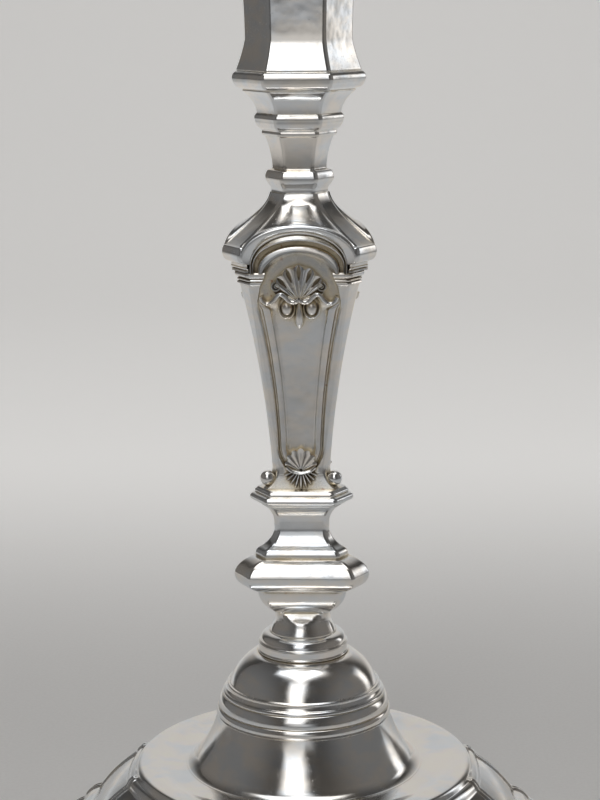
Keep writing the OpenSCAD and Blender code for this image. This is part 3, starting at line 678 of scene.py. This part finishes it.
class CandlestickFinish(bpy.types.PropertyGroup):
    """Colours and polish of the metal."""

    silver: bpy.props.FloatVectorProperty(
        name="Silver", description="Clean silver", subtype="COLOR", size=4, default=(0.95, 0.905, 0.845, 1))
    bloom: bpy.props.FloatVectorProperty(
        name="Bloom", description="Faint cool bloom on the silver", subtype="COLOR", size=4,
        default=(0.83, 0.86, 0.89, 1))
    straw: bpy.props.FloatVectorProperty(
        name="Straw film", description="Light tarnish in recesses", subtype="COLOR", size=4,
        default=(0.9, 0.77, 0.52, 1))
    # The oxide colour is dark tarnish and painted shade, laid into creases
    oxide_and_shade: bpy.props.FloatVectorProperty(
        name="Oxide_and_shade", description="Dark tarnish in creases", subtype="COLOR", size=4,
        default=(0.12, 0.088, 0.055, 1))
    spot: bpy.props.FloatVectorProperty(
        name="Spots", description="Brown tarnish spots", subtype="COLOR", size=4, default=(0.5, 0.2, 0.05, 1))
    iron: bpy.props.FloatVectorProperty(
        name="Iron", description="Tie rod, washer and nut", subtype="COLOR", size=4,
        default=(0.22, 0.21, 0.2, 1))
    scale: bpy.props.FloatVectorProperty(
        name="Scale", description="Darker scale on the iron", subtype="COLOR", size=4,
        default=(0.13, 0.12, 0.12, 1))
    rust: bpy.props.FloatVectorProperty(
        name="Rust", description="Rust in the iron's corners", subtype="COLOR", size=4,
        default=(0.27, 0.13, 0.06, 1))
    polish: bpy.props.FloatProperty(
        name="Polish", description="Roughness of the polished faces", subtype="FACTOR",
        default=0.1, min=0, max=1)
    dullness: bpy.props.FloatProperty(
        name="Dullness", description="Roughness of the iron", subtype="FACTOR", default=0.42, min=0, max=1)


class CandlestickStage(bpy.types.PropertyGroup):
    """Floor, light and camera."""

    paper: bpy.props.FloatVectorProperty(
        name="Paper", description="Floor and backdrop", subtype="COLOR", size=4,
        default=(0.8, 0.79, 0.775, 1))
    room: bpy.props.FloatVectorProperty(
        name="Room", description="Light from the room before and behind the stage", subtype="COLOR", size=4,
        default=(0.06, 0.057, 0.054, 1))
    sides: bpy.props.FloatVectorProperty(
        name="Sides", description="Light from the room on both sides of the stage", subtype="COLOR", size=4,
        default=(0.15, 0.144, 0.138, 1))
    pitch: bpy.props.FloatProperty(
        name="Pitch", description="How far the camera looks down", subtype="ANGLE", unit="ROTATION",
        default=radians(11.5))
    turn: bpy.props.FloatProperty(
        name="Turn", description="How far round to the right the camera stands", subtype="ANGLE",
        unit="ROTATION", default=radians(2.2))
    roll: bpy.props.FloatProperty(
        name="Roll", description="Tilt of the picture", subtype="ANGLE", unit="ROTATION",
        default=radians(-0.43))
    distance: bpy.props.FloatProperty(
        name="Distance", description="From the camera to the stem", subtype="DISTANCE", unit="LENGTH",
        default=0.54)
    target: bpy.props.FloatProperty(
        name="Target", description="Height that the camera looks at", subtype="DISTANCE", unit="LENGTH",
        default=0.1284)
    aside: bpy.props.FloatProperty(
        name="Aside", description="How far left of the stem the camera stands", subtype="DISTANCE",
        unit="LENGTH", default=0.00035)
    lens: bpy.props.FloatProperty(
        name="Lens", description="Focal length for a frame 36 mm high", subtype="DISTANCE_CAMERA",
        default=90.0)


def sizes():
    """The sizes that a user may change."""
    return bpy.context.scene.candlestick_sizes


def silver(finish=CAST):
    """Cast silver, or the evener finish of turned and raised work."""
    return bpy.data.materials[finish]


class FinishOperator(bpy.types.Operator):
    """Makes the silver and iron finishes"""

    bl_idname = "candlestick.finishes"
    bl_label = "Finishes"

    def execute(self, context):
        f = context.scene.candlestick_finish
        groups = (old_polish_group(), tarnish_and_shade_group())
        tones = (f.silver, f.bloom, f.straw, f.oxide_and_shade, f.spot)
        iron_tones = (f.iron, f.scale, f.rust, f.oxide_and_shade, f.rust)
        metal(CAST, tones, groups, f.polish, rougher=0.12, shelter_reach=(0.004, 0.0015), bump=0.38)
        metal(TURNED, tones, groups, f.polish, rougher=0.1, shelter_reach=(0.002, 0.0009), bump=0.16)
        metal(DULL_IRON, iron_tones, groups, f.dullness, rougher=0.2, shelter_reach=(0.004, 0.0011), bump=0.5)
        return {"FINISHED"}


# Pieces


def foot_ring(reach, height, lean, proud):
    """One level of the border: twelve bowed sides that meet between two rounded mitre cords."""
    half = reach * tan(pi / FOOT_SIDES)
    pulled = SIDE_BOW * reach * (1 / cos(pi / FOOT_SIDES) - 1)
    cords = [(half - inset, stand) for inset, stand in MITRE_CORD]
    flats = [(share * (half - MITRE_CORD[0][0]), 0.0) for share in SIDE_SHARES]
    side = [(-u, stand) for u, stand in reversed(cords)] + flats + cords
    ring = []
    for k in range(FOOT_SIDES):
        turn = k * 2 * pi / FOOT_SIDES
        for u, stand in side:
            bowed = reach - pulled * (u / half) ** 2
            place = heading(turn) * (bowed + stand * proud * lean.x)
            place += heading(turn + pi / 2) * u * bowed / reach
            ring.append(at_height(place, height + stand * proud * lean.y))
    return ring


class FootOperator(bpy.types.Operator):
    """Makes the moulded twelve-sided foot with its dished plateau"""

    bl_idname = "candlestick.foot"
    bl_label = "Foot"

    def execute(self, context):
        border = softened(curved(FOOT_BORDER), sizes().wear)
        rings = []
        for i, (reach, height) in enumerate(border):
            before, after = border[max(i - 1, 0)], border[min(i + 1, len(border) - 1)]
            along = Vector(after) - Vector(before)
            lean = Vector((along.y, -along.x)).normalized()
            proud = MITRE_PROUD if FOOT_BORDER[2][1] < height < FOOT_BORDER[-1][1] else 0.0
            ring = foot_ring(reach, height, lean, proud)
            rings.append(ring if reach > PLATEAU_EDGE else round_like(ring, reach, height))
        rings += [round_like(rings[-1], r, z) for r, z in FOOT_DISH]
        rings += [foot_ring(r, z, Vector((0, 0)), 0.0) for r, z in FOOT_INNER]
        bm = bmesh.new()
        skinned(bm, rings + rings[:1], closed=True)
        finished(bm, "foot_shell", silver(TURNED), STAND, "base_foot")
        return {"FINISHED"}


class BellOperator(bpy.types.Operator):
    """Turns the hollow bell with its ringed band"""

    bl_idname = "candlestick.bell"
    bl_label = "Bell"

    def execute(self, context):
        out = softened(curved(BELL_OUT), sizes().wear / 2)
        top = out[-1][1]
        bm = bmesh.new()
        spun(bm, out + [(ROD_BORE, top), (ROD_BORE, BELL_IN[0][1])] + BELL_IN)
        finished(bm, "bell_shell", silver(TURNED), STAND, "bell")
        return {"FINISHED"}


class CollarOperator(bpy.types.Operator):
    """Turns the collar between bell and stem"""

    bl_idname = "candlestick.collar"
    bl_label = "Collar"

    def execute(self, context):
        out = softened(curved(COLLAR_OUT), sizes().wear / 2)
        bm = bmesh.new()
        spun(bm, out + [(ROD_BORE, out[-1][1]), (ROD_BORE, out[0][1])])
        finished(bm, "collar_ring", silver(TURNED), STAND, "collar")
        return {"FINISHED"}


class KnopOperator(bpy.types.Operator):
    """Casts the knop from its round throat, cut by three flats, to the scotia"""

    bl_idname = "candlestick.knop"
    bl_label = "Knop"

    def execute(self, context):
        s, seat = sizes(), seat_of("knop")
        gain, lift = KNOP_CORNER
        rings = []
        for a, z in softened(curved(KNOP_FACE), s.wear):
            corner = gain * a + lift
            half = arrises(a, corner, s.arris)[0][0].x
            rings.append(section(a, corner, seat + z, s.arris, [(share * half, 0.0) for share in ACROSS]))
        throat = []
        for i in range(THROAT_STEPS):
            z = THROAT_TOP * i / THROAT_STEPS
            radius, flat = looked_up(THROAT_ROUND, z), looked_up(THROAT_FLAT, z)
            throat.append(cut_round(rings[0], radius, flat, seat + z))
        bm = bmesh.new()
        skinned(bm, bored(throat + rings, ROD_BORE), closed=True)
        finished(bm, "knop_casting", silver(), STAND, "knop")
        return {"FINISHED"}


class PlinthOperator(bpy.types.Operator):
    """Casts the plinth under the baluster"""

    bl_idname = "candlestick.plinth"
    bl_label = "Plinth"

    def execute(self, context):
        bm = bmesh.new()
        skinned(bm, bored(stacked(PLINTH_FACE, "plinth", *PLINTH_CORNER), ROD_BORE), closed=True)
        finished(bm, "plinth_casting", silver(), STAND, "plinth")
        return {"FINISHED"}


def flared(reach, foot, z):
    """Reach of the hollow flare below the shaft."""
    out, low = foot
    share = (SHAFT_FOOT - z) / (SHAFT_FOOT - low)
    return between(reach, out, share ** FLARE_BEND)


def hollowed(z):
    """How far the long curve of the shaft falls inside a straight taper."""
    share = min(1.0, (z - SHAFT_FOOT) / (SHAFT_TOP - SHAFT_FOOT))
    return FACE_HOLLOW * 4 * share * (1 - share)


def face_reach(z):
    """Reach of the leaning wide face of the baluster."""
    if z <= SHAFT_FOOT:
        return flared(FACE_FOOT, FLARE, z)
    return FACE_FOOT + FACE_LEAN * (z - SHAFT_FOOT) - hollowed(z)


def corner_reach(z):
    """Reach of the canted corner of the baluster."""
    if z <= SHAFT_FOOT:
        return flared(CORNER_FOOT, FLARE_CORNER, z)
    return between(CORNER_FOOT, CORNER_TOP, (z - SHAFT_FOOT) / (SHAFT_TOP - SHAFT_FOOT)) - hollowed(z) / 2


def capital_stand(z):
    """Stand of the capital beads at a height."""
    if z <= CAPITAL[0][0]:
        return 0.0
    return looked_up([(stand, level) for level, stand in CAPITAL], z)


def eased(share):
    """Share that starts and ends gently."""
    share = min(1.0, max(0.0, share))
    return share * share * (3 - 2 * share)


def field_reach(z):
    """Reach of the niche behind the upper shell."""
    return between(*FIELD_REACH, max(0.0, (z - FIELD_START) / (CORE_TOP - FIELD_START)))


def panel_points(z, stand):
    """Side and stand of the panel's lines at a height, from the left of a wide face to its right."""
    floor = field_reach(z) - face_reach(z) - stand
    field = between(*FIELD_HALF, eased((CAPITAL[-1][0] - z) / FIELD_FLARE))
    merge = eased((z - PANEL_TOP) / (FIELD_START - PANEL_TOP))
    share = max(0.0, (z - PANEL_FOOT) / (PANEL_TOP - PANEL_FOOT))
    share = between(share * share, share, PANEL_SPREAD)
    rim = len(PANEL_LINES) - 2
    half = []
    for i, (foot, top, rise, fall) in enumerate(PANEL_LINES):
        side = between(foot, top, share)
        below = (PANEL_FOOT - z) / fall
        if below > 0:
            side *= sqrt(max(0.0, 1 - below * below))
        side = between(side, field + i * FIELD_STEP, merge)
        half.append((side, between(rise, floor if i < rim else 0.0, merge)))
    open_rise = next((rise for side, rise in half if side > 0), 0.0)
    half = [(side + i * LINE_GAP, rise if side > 0 else open_rise) for i, (side, rise) in enumerate(half)]
    if half[-1][0] < 2 * SLIVER:
        half = [(side, 0.0) for side, _ in half]
    return [(-side, rise) for side, rise in reversed(half)] + half


def core_levels():
    """Heights of the baluster's rings: close where its lines bend, far apart where they run straight."""
    levels = evenly(FLARE[1], SHAFT_FOOT, FLARE_STEPS)
    levels += [PANEL_FOOT - fall * share for *_, fall in PANEL_LINES for share in CUP_SHARES]
    levels += evenly(PANEL_FOOT, PANEL_TOP, PANEL_STEPS)
    levels += evenly(PANEL_TOP, FIELD_START, FIELD_STEPS) + [z for z, _ in CAPITAL]
    return sorted(set(round(z, 3) for z in levels))


def core_rings(soft):
    """Rings of the baluster's shaft with its sunk panels and capitals, up into the shoulder."""
    rings = []
    for z in core_levels():
        stand = capital_stand(z)
        corner = min(corner_reach(z), CORNER_TOP + CORNER_SPARE) + stand
        stand *= CAPITAL_FACE
        rings.append(section(face_reach(z) + stand, corner, z, soft, panel_points(z, stand)))
    top = CAPITAL[-1][0]
    flat = [(side, 0.0) for side, _ in panel_points(top, 0.0)]
    for z in (top + CORE_LIFT, CORE_TOP):
        rings.append(section(field_reach(z), CORNER_TOP - CORE_INSET, z, soft, flat))
    return rings


def arch_moulding(bm):
    """Ridge, groove and band that follow the arch over the front panel and stand on its capitals."""
    lines = []
    for half, crown, rise, reach in ARCH_LINES:
        low = asin(max(0.0, (ARCH_LEG - crown + rise) / rise))
        arc = [
            on_front(half * cos(turn), crown - rise + rise * sin(turn), reach)
            for turn in evenly(low, pi - low, ARCH_STEPS)]
        foot = half * cos(low)
        lines.append([on_front(foot, ARCH_LEG, reach)] + arc + [on_front(-foot, ARCH_LEG, reach)])
    skinned(bm, [list(ring) for ring in zip(*lines)])


def shoulder_ring(line, soft):
    """Ring of the shoulder: arched over each wide face and level round each corner."""
    crown, fullness, middle, reach, corner, low, widest = line
    arcs = arrises(reach, corner, soft)
    half = min(widest, arcs[0][0].x)
    spring = sqrt(1 - fullness * fullness)
    ring = []
    for k in range(3):
        turned = Matrix.Rotation(k * THIRD, 3, "Z")
        for i in range(ARCH_STEPS + 1):
            share = -cos(pi * i / ARCH_STEPS)
            rise = (sqrt(1 - (fullness * share) ** 2) - spring) / (1 - spring)
            ring.append(turned @ on_front(half * share, between(low, crown, rise), middle))
        ring += [at_height(p, low) for p in arcs[2 * k] + arcs[2 * k + 1]]
    return ring


def blended(a, b, shares):
    """Line of the shoulder between two others, with a share for each of its values."""
    return tuple(between(x, y, share) for x, y, share in zip(a, b, shares))


def shoulder_rings(soft):
    """Rings of the shoulder from its foot over the roll to the seat of the neck."""
    lines = [(*FOOT_ARCH, *corner, FOOT_HALF) for corner in FOOT_CORNERS] + [FOOT_TOP, ROLL_EDGE]
    turns = [pi / 2 * i / ROLL_STEPS for i in range(1, ROLL_STEPS + 1)]
    for turn in turns:
        out, up = sin(turn), 1 - cos(turn)
        lines.append(blended(ROLL_EDGE, ROLL_NOSE, (up, up, out, out, out, up, out)))
    for turn in turns:
        back, up = 1 - cos(turn), sin(turn)
        lines.append(blended(ROLL_NOSE, ROLL_TOP, (up, up, back, back, back, up, up)))
    rings = [shoulder_ring(line, soft) for line in lines + [ROLL_STEP]]
    foot = rings[-1]
    reach, top = NECK_SEAT
    flat = 2 * reach * tan(SIXTH / 2)
    across = [(-cos(pi * i / ARCH_STEPS) * flat * SEAT_SHARE, 0.0) for i in range(ARCH_STEPS + 1)]
    seat = section(reach, reach, top, SEAT_SOFT, across)
    for i in range(1, HOLLOW_STEPS + 1):
        share = i / HOLLOW_STEPS
        ring = []
        for p, q in zip(foot, seat):
            bend = p.lerp(q, HOLLOW_IN)
            bend.z = between(p.z, q.z, HOLLOW_UP)
            ring.append(p.lerp(bend, share).lerp(bend.lerp(q, share), share))
        rings.append(ring)
    return rings


class BalusterOperator(bpy.types.Operator):
    """Casts the panelled baluster with its capitals, arches and shoulder"""

    bl_idname = "candlestick.baluster"
    bl_label = "Baluster"

    def execute(self, context):
        soft = sizes().arris
        bm = bmesh.new()
        arch_moulding(bm)
        on_three_faces(bm)
        skinned(bm, core_rings(soft))
        skinned(bm, shoulder_rings(soft))
        finished(bm, "baluster_casting", silver(), STAND, "baluster")
        return {"FINISHED"}


def fan(bm, root, reach_at, lobes, length, spread, side_share, body, flute, lip, scallop):
    """Shell of radiating flutes or lobes: a fan skinned from its root to its scalloped rim."""
    across = LOBE_STEPS * lobes
    rings = []
    for share in evenly(FAN_START, 1.0, FAN_STEPS):
        lifted = lip * eased((share - LIP_START) / (1 - LIP_START))
        front, back = [], []
        for i in range(across + 1):
            turn = (i / across - 0.5) * spread
            phase = (i / across * lobes) % 1.0 - 0.5
            tip = length * between(1.0, side_share, abs(2 * i / across - 1) ** SIDE_BEND)
            tip *= 1 - scallop * (2 * phase) ** 2 * share
            hollow = cos(pi * phase) ** 2
            side, height = share * tip * sin(turn), root + share * tip * cos(turn)
            stand = body * between(*FAN_BODY, share) + (flute * share ** FLUTE_BEND + lifted) * hollow
            front.append(on_front(side, height, reach_at(height) + stand))
            back.append(on_front(side, height, reach_at(height) - FAN_BACK))
        rings.append(front + back[::-1])
    skinned(bm, rings)


def volute(bm):
    """Small spiral scroll at the left of a shell."""
    side, height = VOLUTE_PLACE
    path, widths = [], []
    for share in evenly(0.0, 1.0, VOLUTE_STEPS):
        turn = VOLUTE_START + 2 * pi * VOLUTE_TURNS * share
        radius = VOLUTE_SIZE * (1 - VOLUTE_CLOSES * share)
        path.append((radius * cos(turn) - side, -SHELL_REACH - VOLUTE_PROUD, height + radius * sin(turn)))
        widths.append(between(*VOLUTE_WIDTHS, share))
    gain, least = VOLUTE_DEPTH
    tube(bm, path, widths, [gain * w + least for w in widths])


def wave(bm):
    """Left half of the waved bead under a shell."""
    path = smooth_path([(x, -SHELL_REACH - WAVE_PROUD, z) for x, z in WAVE])
    shares = evenly(0.0, 1.0, len(path) - 1)
    widths, depths = ([between(*ends, share) for share in shares] for ends in (WAVE_WIDTHS, WAVE_DEPTHS))
    tube(bm, path, widths, depths, WAVE_SIDES)


def drop(bm):
    """Oval drop with a fine border, left of the pendant."""
    side, height = DROP_PLACE
    reach = face_reach(height) - DROP_SUNK
    around, up = DROP_FACETS
    made = bmesh.ops.create_uvsphere(bm, u_segments=around, v_segments=up, radius=1.0)["verts"]
    bmesh.ops.scale(bm, verts=made, vec=Vector(DROP_SIZE) * MM)
    bmesh.ops.translate(bm, verts=made, vec=on_front(-side, height, reach))
    wide, high = BORDER_SPREAD[0] * DROP_SIZE[0], BORDER_SPREAD[1] * DROP_SIZE[2]
    turns = [2 * pi * i / BORDER_STEPS for i in range(BORDER_STEPS + 1)]
    path = [(wide * sin(turn) - side, -reach, height + high * cos(turn)) for turn in turns]
    tube(bm, path, [BORDER_WIDTH] * len(path), [BORDER_DEPTH] * len(path), BORDER_SIDES)


def pendant(bm):
    """Drop that hangs from the middle of the wave."""
    path = smooth_path([(r, PENDANT_SUNK - face_reach(z), z) for r, z in PENDANT])
    widths = [r for r, *_ in path]
    gain, least = PENDANT_DEPTH
    tube(bm, [(0.0, y, z) for _, y, z in path], widths, [gain * r + least for r in widths], PENDANT_SIDES)


def rays(bm, count):
    """Rays below the bar of a palmette."""
    for i in range(count):
        turn = RAY_SPREAD * (i / (count - 1) - 0.5)
        length = RAY_LENGTH * (1 - RAY_FALL * abs(turn))
        ray = [(length * t * sin(turn), RAY_ROOT - length * t * cos(turn)) for t in RAY_SHARES]
        path = [(x, -face_reach(z) - RAY_PROUD, z) for x, z in ray]
        tube(bm, path, RAY_WIDTHS, [w + RAY_DEEPER for w in RAY_WIDTHS])


class UpperShellOperator(bpy.types.Operator):
    """Models the shell, lambrequin, drops and pendant on each wide face"""

    bl_idname = "candlestick.upper_shells"
    bl_label = "Upper shells"

    def execute(self, context):
        s = sizes()
        bm = bmesh.new()
        volute(bm)
        wave(bm)
        drop(bm)
        mirrored(bm)
        fan(bm, SHELL_ROOT, lambda z: SHELL_REACH, s.shell_lobes, s.shell_length, **SHELL_FAN)
        pendant(bm)
        on_three_faces(bm)
        finished(bm, "shell_ornaments", silver(), STAND, "upper_shells")
        return {"FINISHED"}


class LowerShellOperator(bpy.types.Operator):
    """Models the palmette at the foot of each wide face"""

    bl_idname = "candlestick.lower_shells"
    bl_label = "Lower shells"

    def execute(self, context):
        s = sizes()
        bm = bmesh.new()
        fan(bm, PALMETTE_ROOT, face_reach, s.palmette_lobes, PALMETTE_LENGTH, **PALMETTE_FAN)
        bar = [(x, -face_reach(z) - BAR_PROUD, z) for x, z in smooth_path(PALMETTE_BAR)]
        tube(bm, bar, [BAR_WIDTH] * len(bar), [BAR_DEPTH] * len(bar), BAR_SIDES)
        rays(bm, s.ray_count)
        on_three_faces(bm)
        finished(bm, "palmette_ornaments", silver(), STAND, "lower_shells")
        return {"FINISHED"}


class BallOperator(bpy.types.Operator):
    """Sets a ball at the foot of each canted corner"""

    bl_idname = "candlestick.balls"
    bl_label = "Corner balls"

    def execute(self, context):
        reach, height = BALL_PLACE
        around, up = BALL_FACETS
        thick, thin = (width * MM for width in PEG_WIDTHS)
        bm = bmesh.new()
        ball = bmesh.ops.create_uvsphere(bm, u_segments=around, v_segments=up, radius=BALL_SIZE * MM)["verts"]
        bmesh.ops.translate(bm, verts=ball, vec=on_front(0, height, reach))
        peg = bmesh.ops.create_cone(
            bm, cap_ends=True, segments=PEG_FACETS, radius1=thick, radius2=thin,
            depth=PEG_LENGTH * MM)["verts"]
        bmesh.ops.rotate(bm, verts=peg, cent=(0, 0, 0), matrix=Matrix.Rotation(pi / 2, 3, "X"))
        bmesh.ops.translate(bm, verts=peg, vec=on_front(0, height, reach - PEG_BACK))
        bmesh.ops.rotate(bm, verts=bm.verts, cent=(0, 0, 0), matrix=Matrix.Rotation(SIXTH, 3, "Z"))
        on_three_faces(bm)
        finished(bm, "ball_finials", silver(), STAND, "corner_balls")
        return {"FINISHED"}


class NeckOperator(bpy.types.Operator):
    """Casts the six-sided neck"""

    bl_idname = "candlestick.neck"
    bl_label = "Neck"

    def execute(self, context):
        bm = bmesh.new()
        skinned(bm, bored(stacked(NECK_FACE, "neck"), ROD_BORE), closed=True)
        finished(bm, "neck_casting", silver(), STAND, "neck")
        return {"FINISHED"}


class SocketOperator(bpy.types.Operator):
    """Casts the six-sided candle socket"""

    bl_idname = "candlestick.socket"
    bl_label = "Socket"

    def execute(self, context):
        seat = seat_of("socket")
        floor = seat + WELL_FLOOR
        rings = stacked(SOCKET_FACE, "socket")
        top = rings[-1]
        well = ((SOCKET_BORE, top[0].z / MM), (SOCKET_BORE, floor), (ROD_BORE, floor), (ROD_BORE, seat))
        rings += [round_like(top, r, z) for r, z in well] + rings[:1]
        bm = bmesh.new()
        skinned(bm, rings, closed=True)
        finished(bm, "socket_casting", silver(), STAND, "socket")
        return {"FINISHED"}


class PanOperator(bpy.types.Operator):
    """Makes the loose drip pan and its sleeve"""

    bl_idname = "candlestick.drip_pan"
    bl_label = "Drip pan"

    def execute(self, context):
        s, seat = sizes(), seat_of("bobeche")
        soft = PAN_SOFTER * s.arris
        pan = softened(curved(PAN_UNDER), s.wear) + softened(curved(PAN_DISH), s.wear)
        pan = [section(a, a, seat + z, soft) for a, z in pan]
        outside = ((SLEEVE_OUT, 0), (SLEEVE_OUT, PAN_UNDER[0][1]))
        inside = (
            (PAN_RING + RING_FOOT, PAN_DISH[-1][1]), (PAN_RING, PAN_TOP - RING_FOOT),
            (PAN_RING - RING_EASE, PAN_TOP), (SLEEVE_IN + RING_EASE, PAN_TOP),
            (SLEEVE_IN, PAN_TOP - RING_EASE), (SLEEVE_IN, SLEEVE_FLOOR))
        outside, inside = ([round_like(pan[0], r, seat + z) for r, z in path] for path in (outside, inside))
        bm = bmesh.new()
        skinned(bm, outside + pan + inside)
        finished(bm, "drip_pan", silver(TURNED), LOOSE_PAN, "bobeche")
        return {"FINISHED"}


class RodOperator(bpy.types.Operator):
    """Gives the tie rod, washer and nut their dull iron"""

    bl_idname = "candlestick.rod"
    bl_label = "Tie rod"

    def execute(self, context):
        for name in ("tie_rod", "rod_washer", "rod_nut"):
            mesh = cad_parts[name].data
            mesh.materials.clear()
            mesh.materials.append(bpy.data.materials[DULL_IRON])
        return {"FINISHED"}


# Stage


def lamp(name, place, aim, size, power):
    """Rectangular lamp that looks at a point and fades towards its edges."""
    data = bpy.data.lights.new(name, "AREA")
    data.shape = "RECTANGLE"
    data.size, data.size_y = size
    data.energy = power
    data.use_nodes = True
    w = Wiring(data.node_tree)
    across = w.node("SeparateXYZ", Vector=w.node("NewGeometry").outputs["Parametric"]).outputs
    off = [w.maths("ABSOLUTE", w.maths("SUBTRACT", across[axis], LAMP_MIDDLE)) for axis in ("X", "Y")]
    faded = w.ramp(w.maths("MAXIMUM", *off), *LAMP_FADE, 1.0, 0.0)
    w.put(data.node_tree.nodes["Emission"].inputs["Strength"], faded)
    made = placed(name, data)
    made.location = place
    made.rotation_euler = (Vector(aim) - Vector(place)).to_track_quat("-Z", "Y").to_euler()


def shaded(colour, share):
    """Darker tone of a colour."""
    return tuple(share * c for c in colour[:3]) + (1,)


def pale_paper(colour):
    """Paper with painted shade, darker before the object and far aside, and a backdrop that glows to stay
    pale in the metal too.
    """
    made, w, shader, place = new_material("pale_paper")
    flecks = w.ramp(w.noise(place, FLECK_SCALE, detail=3.0), *FLECK_RANGE)
    aside, back, _ = w.node("SeparateXYZ", Vector=place).outputs
    middle = w.ramp(w.maths("ABSOLUTE", aside), *MIDDLE_FADE, 1.0, 0.0)
    lit_pool = w.maths("MULTIPLY", w.ramp(back, *NEAR_SHADE_FADE), middle)
    # Painted shade: outside the lit pool, before the object and far aside, the paper takes the darker near
    # tone
    tone = w.mixed(lit_pool, shaded(colour, NEAR_SHADE_TONE), w.mixed(flecks, colour, shaded(colour, FLECK_TONE)))
    w.put(shader.inputs["Base Color"], tone)
    shader.inputs["Roughness"].default_value = PAPER_ROUGHNESS
    light = w.node("LightPath").outputs
    seen = light["Is Camera Ray"]
    for kind in ("Is Glossy Ray", "Is Transmission Ray"):
        seen = w.maths("MAXIMUM", seen, light[kind])
    glow = w.maths("MULTIPLY", w.maths("MULTIPLY", seen, middle), w.ramp(back, *GLOW_FADE))
    w.put(shader.inputs["Emission Color"], w.mixed(glow, (0, 0, 0, 1), shaded(colour, GLOW_TONE)))
    shader.inputs["Emission Strength"].default_value = 1.0
    return made


def paper_sweep(finish):
    """Floor that curves up into a backdrop."""
    flat = SWEEP_REAR - SWEEP_BEND
    turns = [pi / 2 * i / BEND_STEPS for i in range(BEND_STEPS + 1)]
    path = [(flat + SWEEP_BEND * sin(turn), SWEEP_BEND - SWEEP_BEND * cos(turn)) for turn in turns]
    path.append((SWEEP_REAR, SWEEP_TOP))
    bm = bmesh.new()
    edge = bm.edges.new([bm.verts.new((x, SWEEP_FRONT, 0)) for x in (-SWEEP_HALF, SWEEP_HALF)])
    for y, z in path:
        ends = verts_of(bmesh.ops.extrude_edge_only(bm, edges=[edge])["geom"])
        for vert in ends:
            vert.co.y, vert.co.z = y, z
        edge = bm.edges.get(ends)
    bmesh.ops.recalc_face_normals(bm, faces=bm.faces)
    sweep = smooth_object(bm, "paper_sweep", finish)


def room_light(dim, light):
    """Rather dark room round the stage, lighter on both sides."""
    world = bpy.data.worlds.new("room")
    world.use_nodes = True
    w = Wiring(world.node_tree)
    across = w.node("SeparateXYZ", Vector=w.node("TexCoord").outputs["Generated"]).outputs["X"]
    sideways = w.ramp(w.maths("ABSOLUTE", across), *ROOM_FADE)
    w.put(world.node_tree.nodes["Background"].inputs["Color"], w.mixed(sideways, dim, light))
    bpy.context.scene.world = world


def camera(stage):
    """Camera at the photograph's angle."""
    data = bpy.data.cameras.new("camera")
    data.sensor_fit = "VERTICAL"
    data.sensor_height = SENSOR_HEIGHT
    data.lens = stage.lens
    round_to = Matrix.Rotation(stage.turn, 3, "Z")
    ahead = round_to @ Vector((0, cos(stage.pitch), -sin(stage.pitch)))
    up = round_to @ Vector((0, sin(stage.pitch), cos(stage.pitch)))
    right = ahead.cross(up)
    place = Vector((0, 0, stage.target)) - right * stage.aside - ahead * stage.distance
    turn = Matrix((right, up, -ahead)).transposed().to_4x4()
    made = placed("camera", data)
    made.matrix_world = Matrix.Translation(place) @ turn @ Matrix.Rotation(stage.roll, 4, "Z")
    bpy.context.scene.camera = made


class StageOperator(bpy.types.Operator):
    """Sets the floor, lamps, room light and camera"""

    bl_idname = "candlestick.stage"
    bl_label = "Stage"

    def execute(self, context):
        stage = context.scene.candlestick_stage
        paper_sweep(pale_paper(tuple(stage.paper)))
        room_light(tuple(stage.room), tuple(stage.sides))
        for name, place, aim, size, power in LAMPS:
            lamp(name, place, aim, size, power)
        camera(stage)
        context.scene.view_settings.view_transform = "Standard"
        return {"FINISHED"}


PIECES = (
    FinishOperator, FootOperator, BellOperator, CollarOperator, KnopOperator, PlinthOperator,
    BalusterOperator, UpperShellOperator, LowerShellOperator, BallOperator, NeckOperator, SocketOperator,
    PanOperator, RodOperator, StageOperator)


class CandlestickPanel(bpy.types.Panel):
    """Lists the candlestick's pieces and settings"""

    bl_idname = "VIEW3D_PT_candlestick"
    bl_label = "Candlestick"
    bl_space_type = "VIEW_3D"
    bl_region_type = "UI"
    bl_category = "Candlestick"

    def draw(self, context):
        for group in (context.scene.candlestick_sizes, context.scene.candlestick_finish,
                      context.scene.candlestick_stage):
            for key in group.bl_rna.properties.keys():
                if key not in ("rna_type", "name"):
                    self.layout.prop(group, key)
        for piece in PIECES:
            self.layout.operator(piece.bl_idname)


CLASSES = (CandlestickSizes, CandlestickFinish, CandlestickStage) + PIECES + (CandlestickPanel,)


def register():
    for item in CLASSES:
        bpy.utils.register_class(item)
    bpy.types.Scene.candlestick_sizes = bpy.props.PointerProperty(type=CandlestickSizes)
    bpy.types.Scene.candlestick_finish = bpy.props.PointerProperty(type=CandlestickFinish)
    bpy.types.Scene.candlestick_stage = bpy.props.PointerProperty(type=CandlestickStage)


def unregister():
    del bpy.types.Scene.candlestick_stage
    del bpy.types.Scene.candlestick_finish
    del bpy.types.Scene.candlestick_sizes
    for item in reversed(CLASSES):
        bpy.utils.unregister_class(item)


def main():
    register()
    for piece in PIECES:
        group, name = piece.bl_idname.split(".")
        getattr(getattr(bpy.ops, group), name)()


if __name__ == "__main__":
    main()
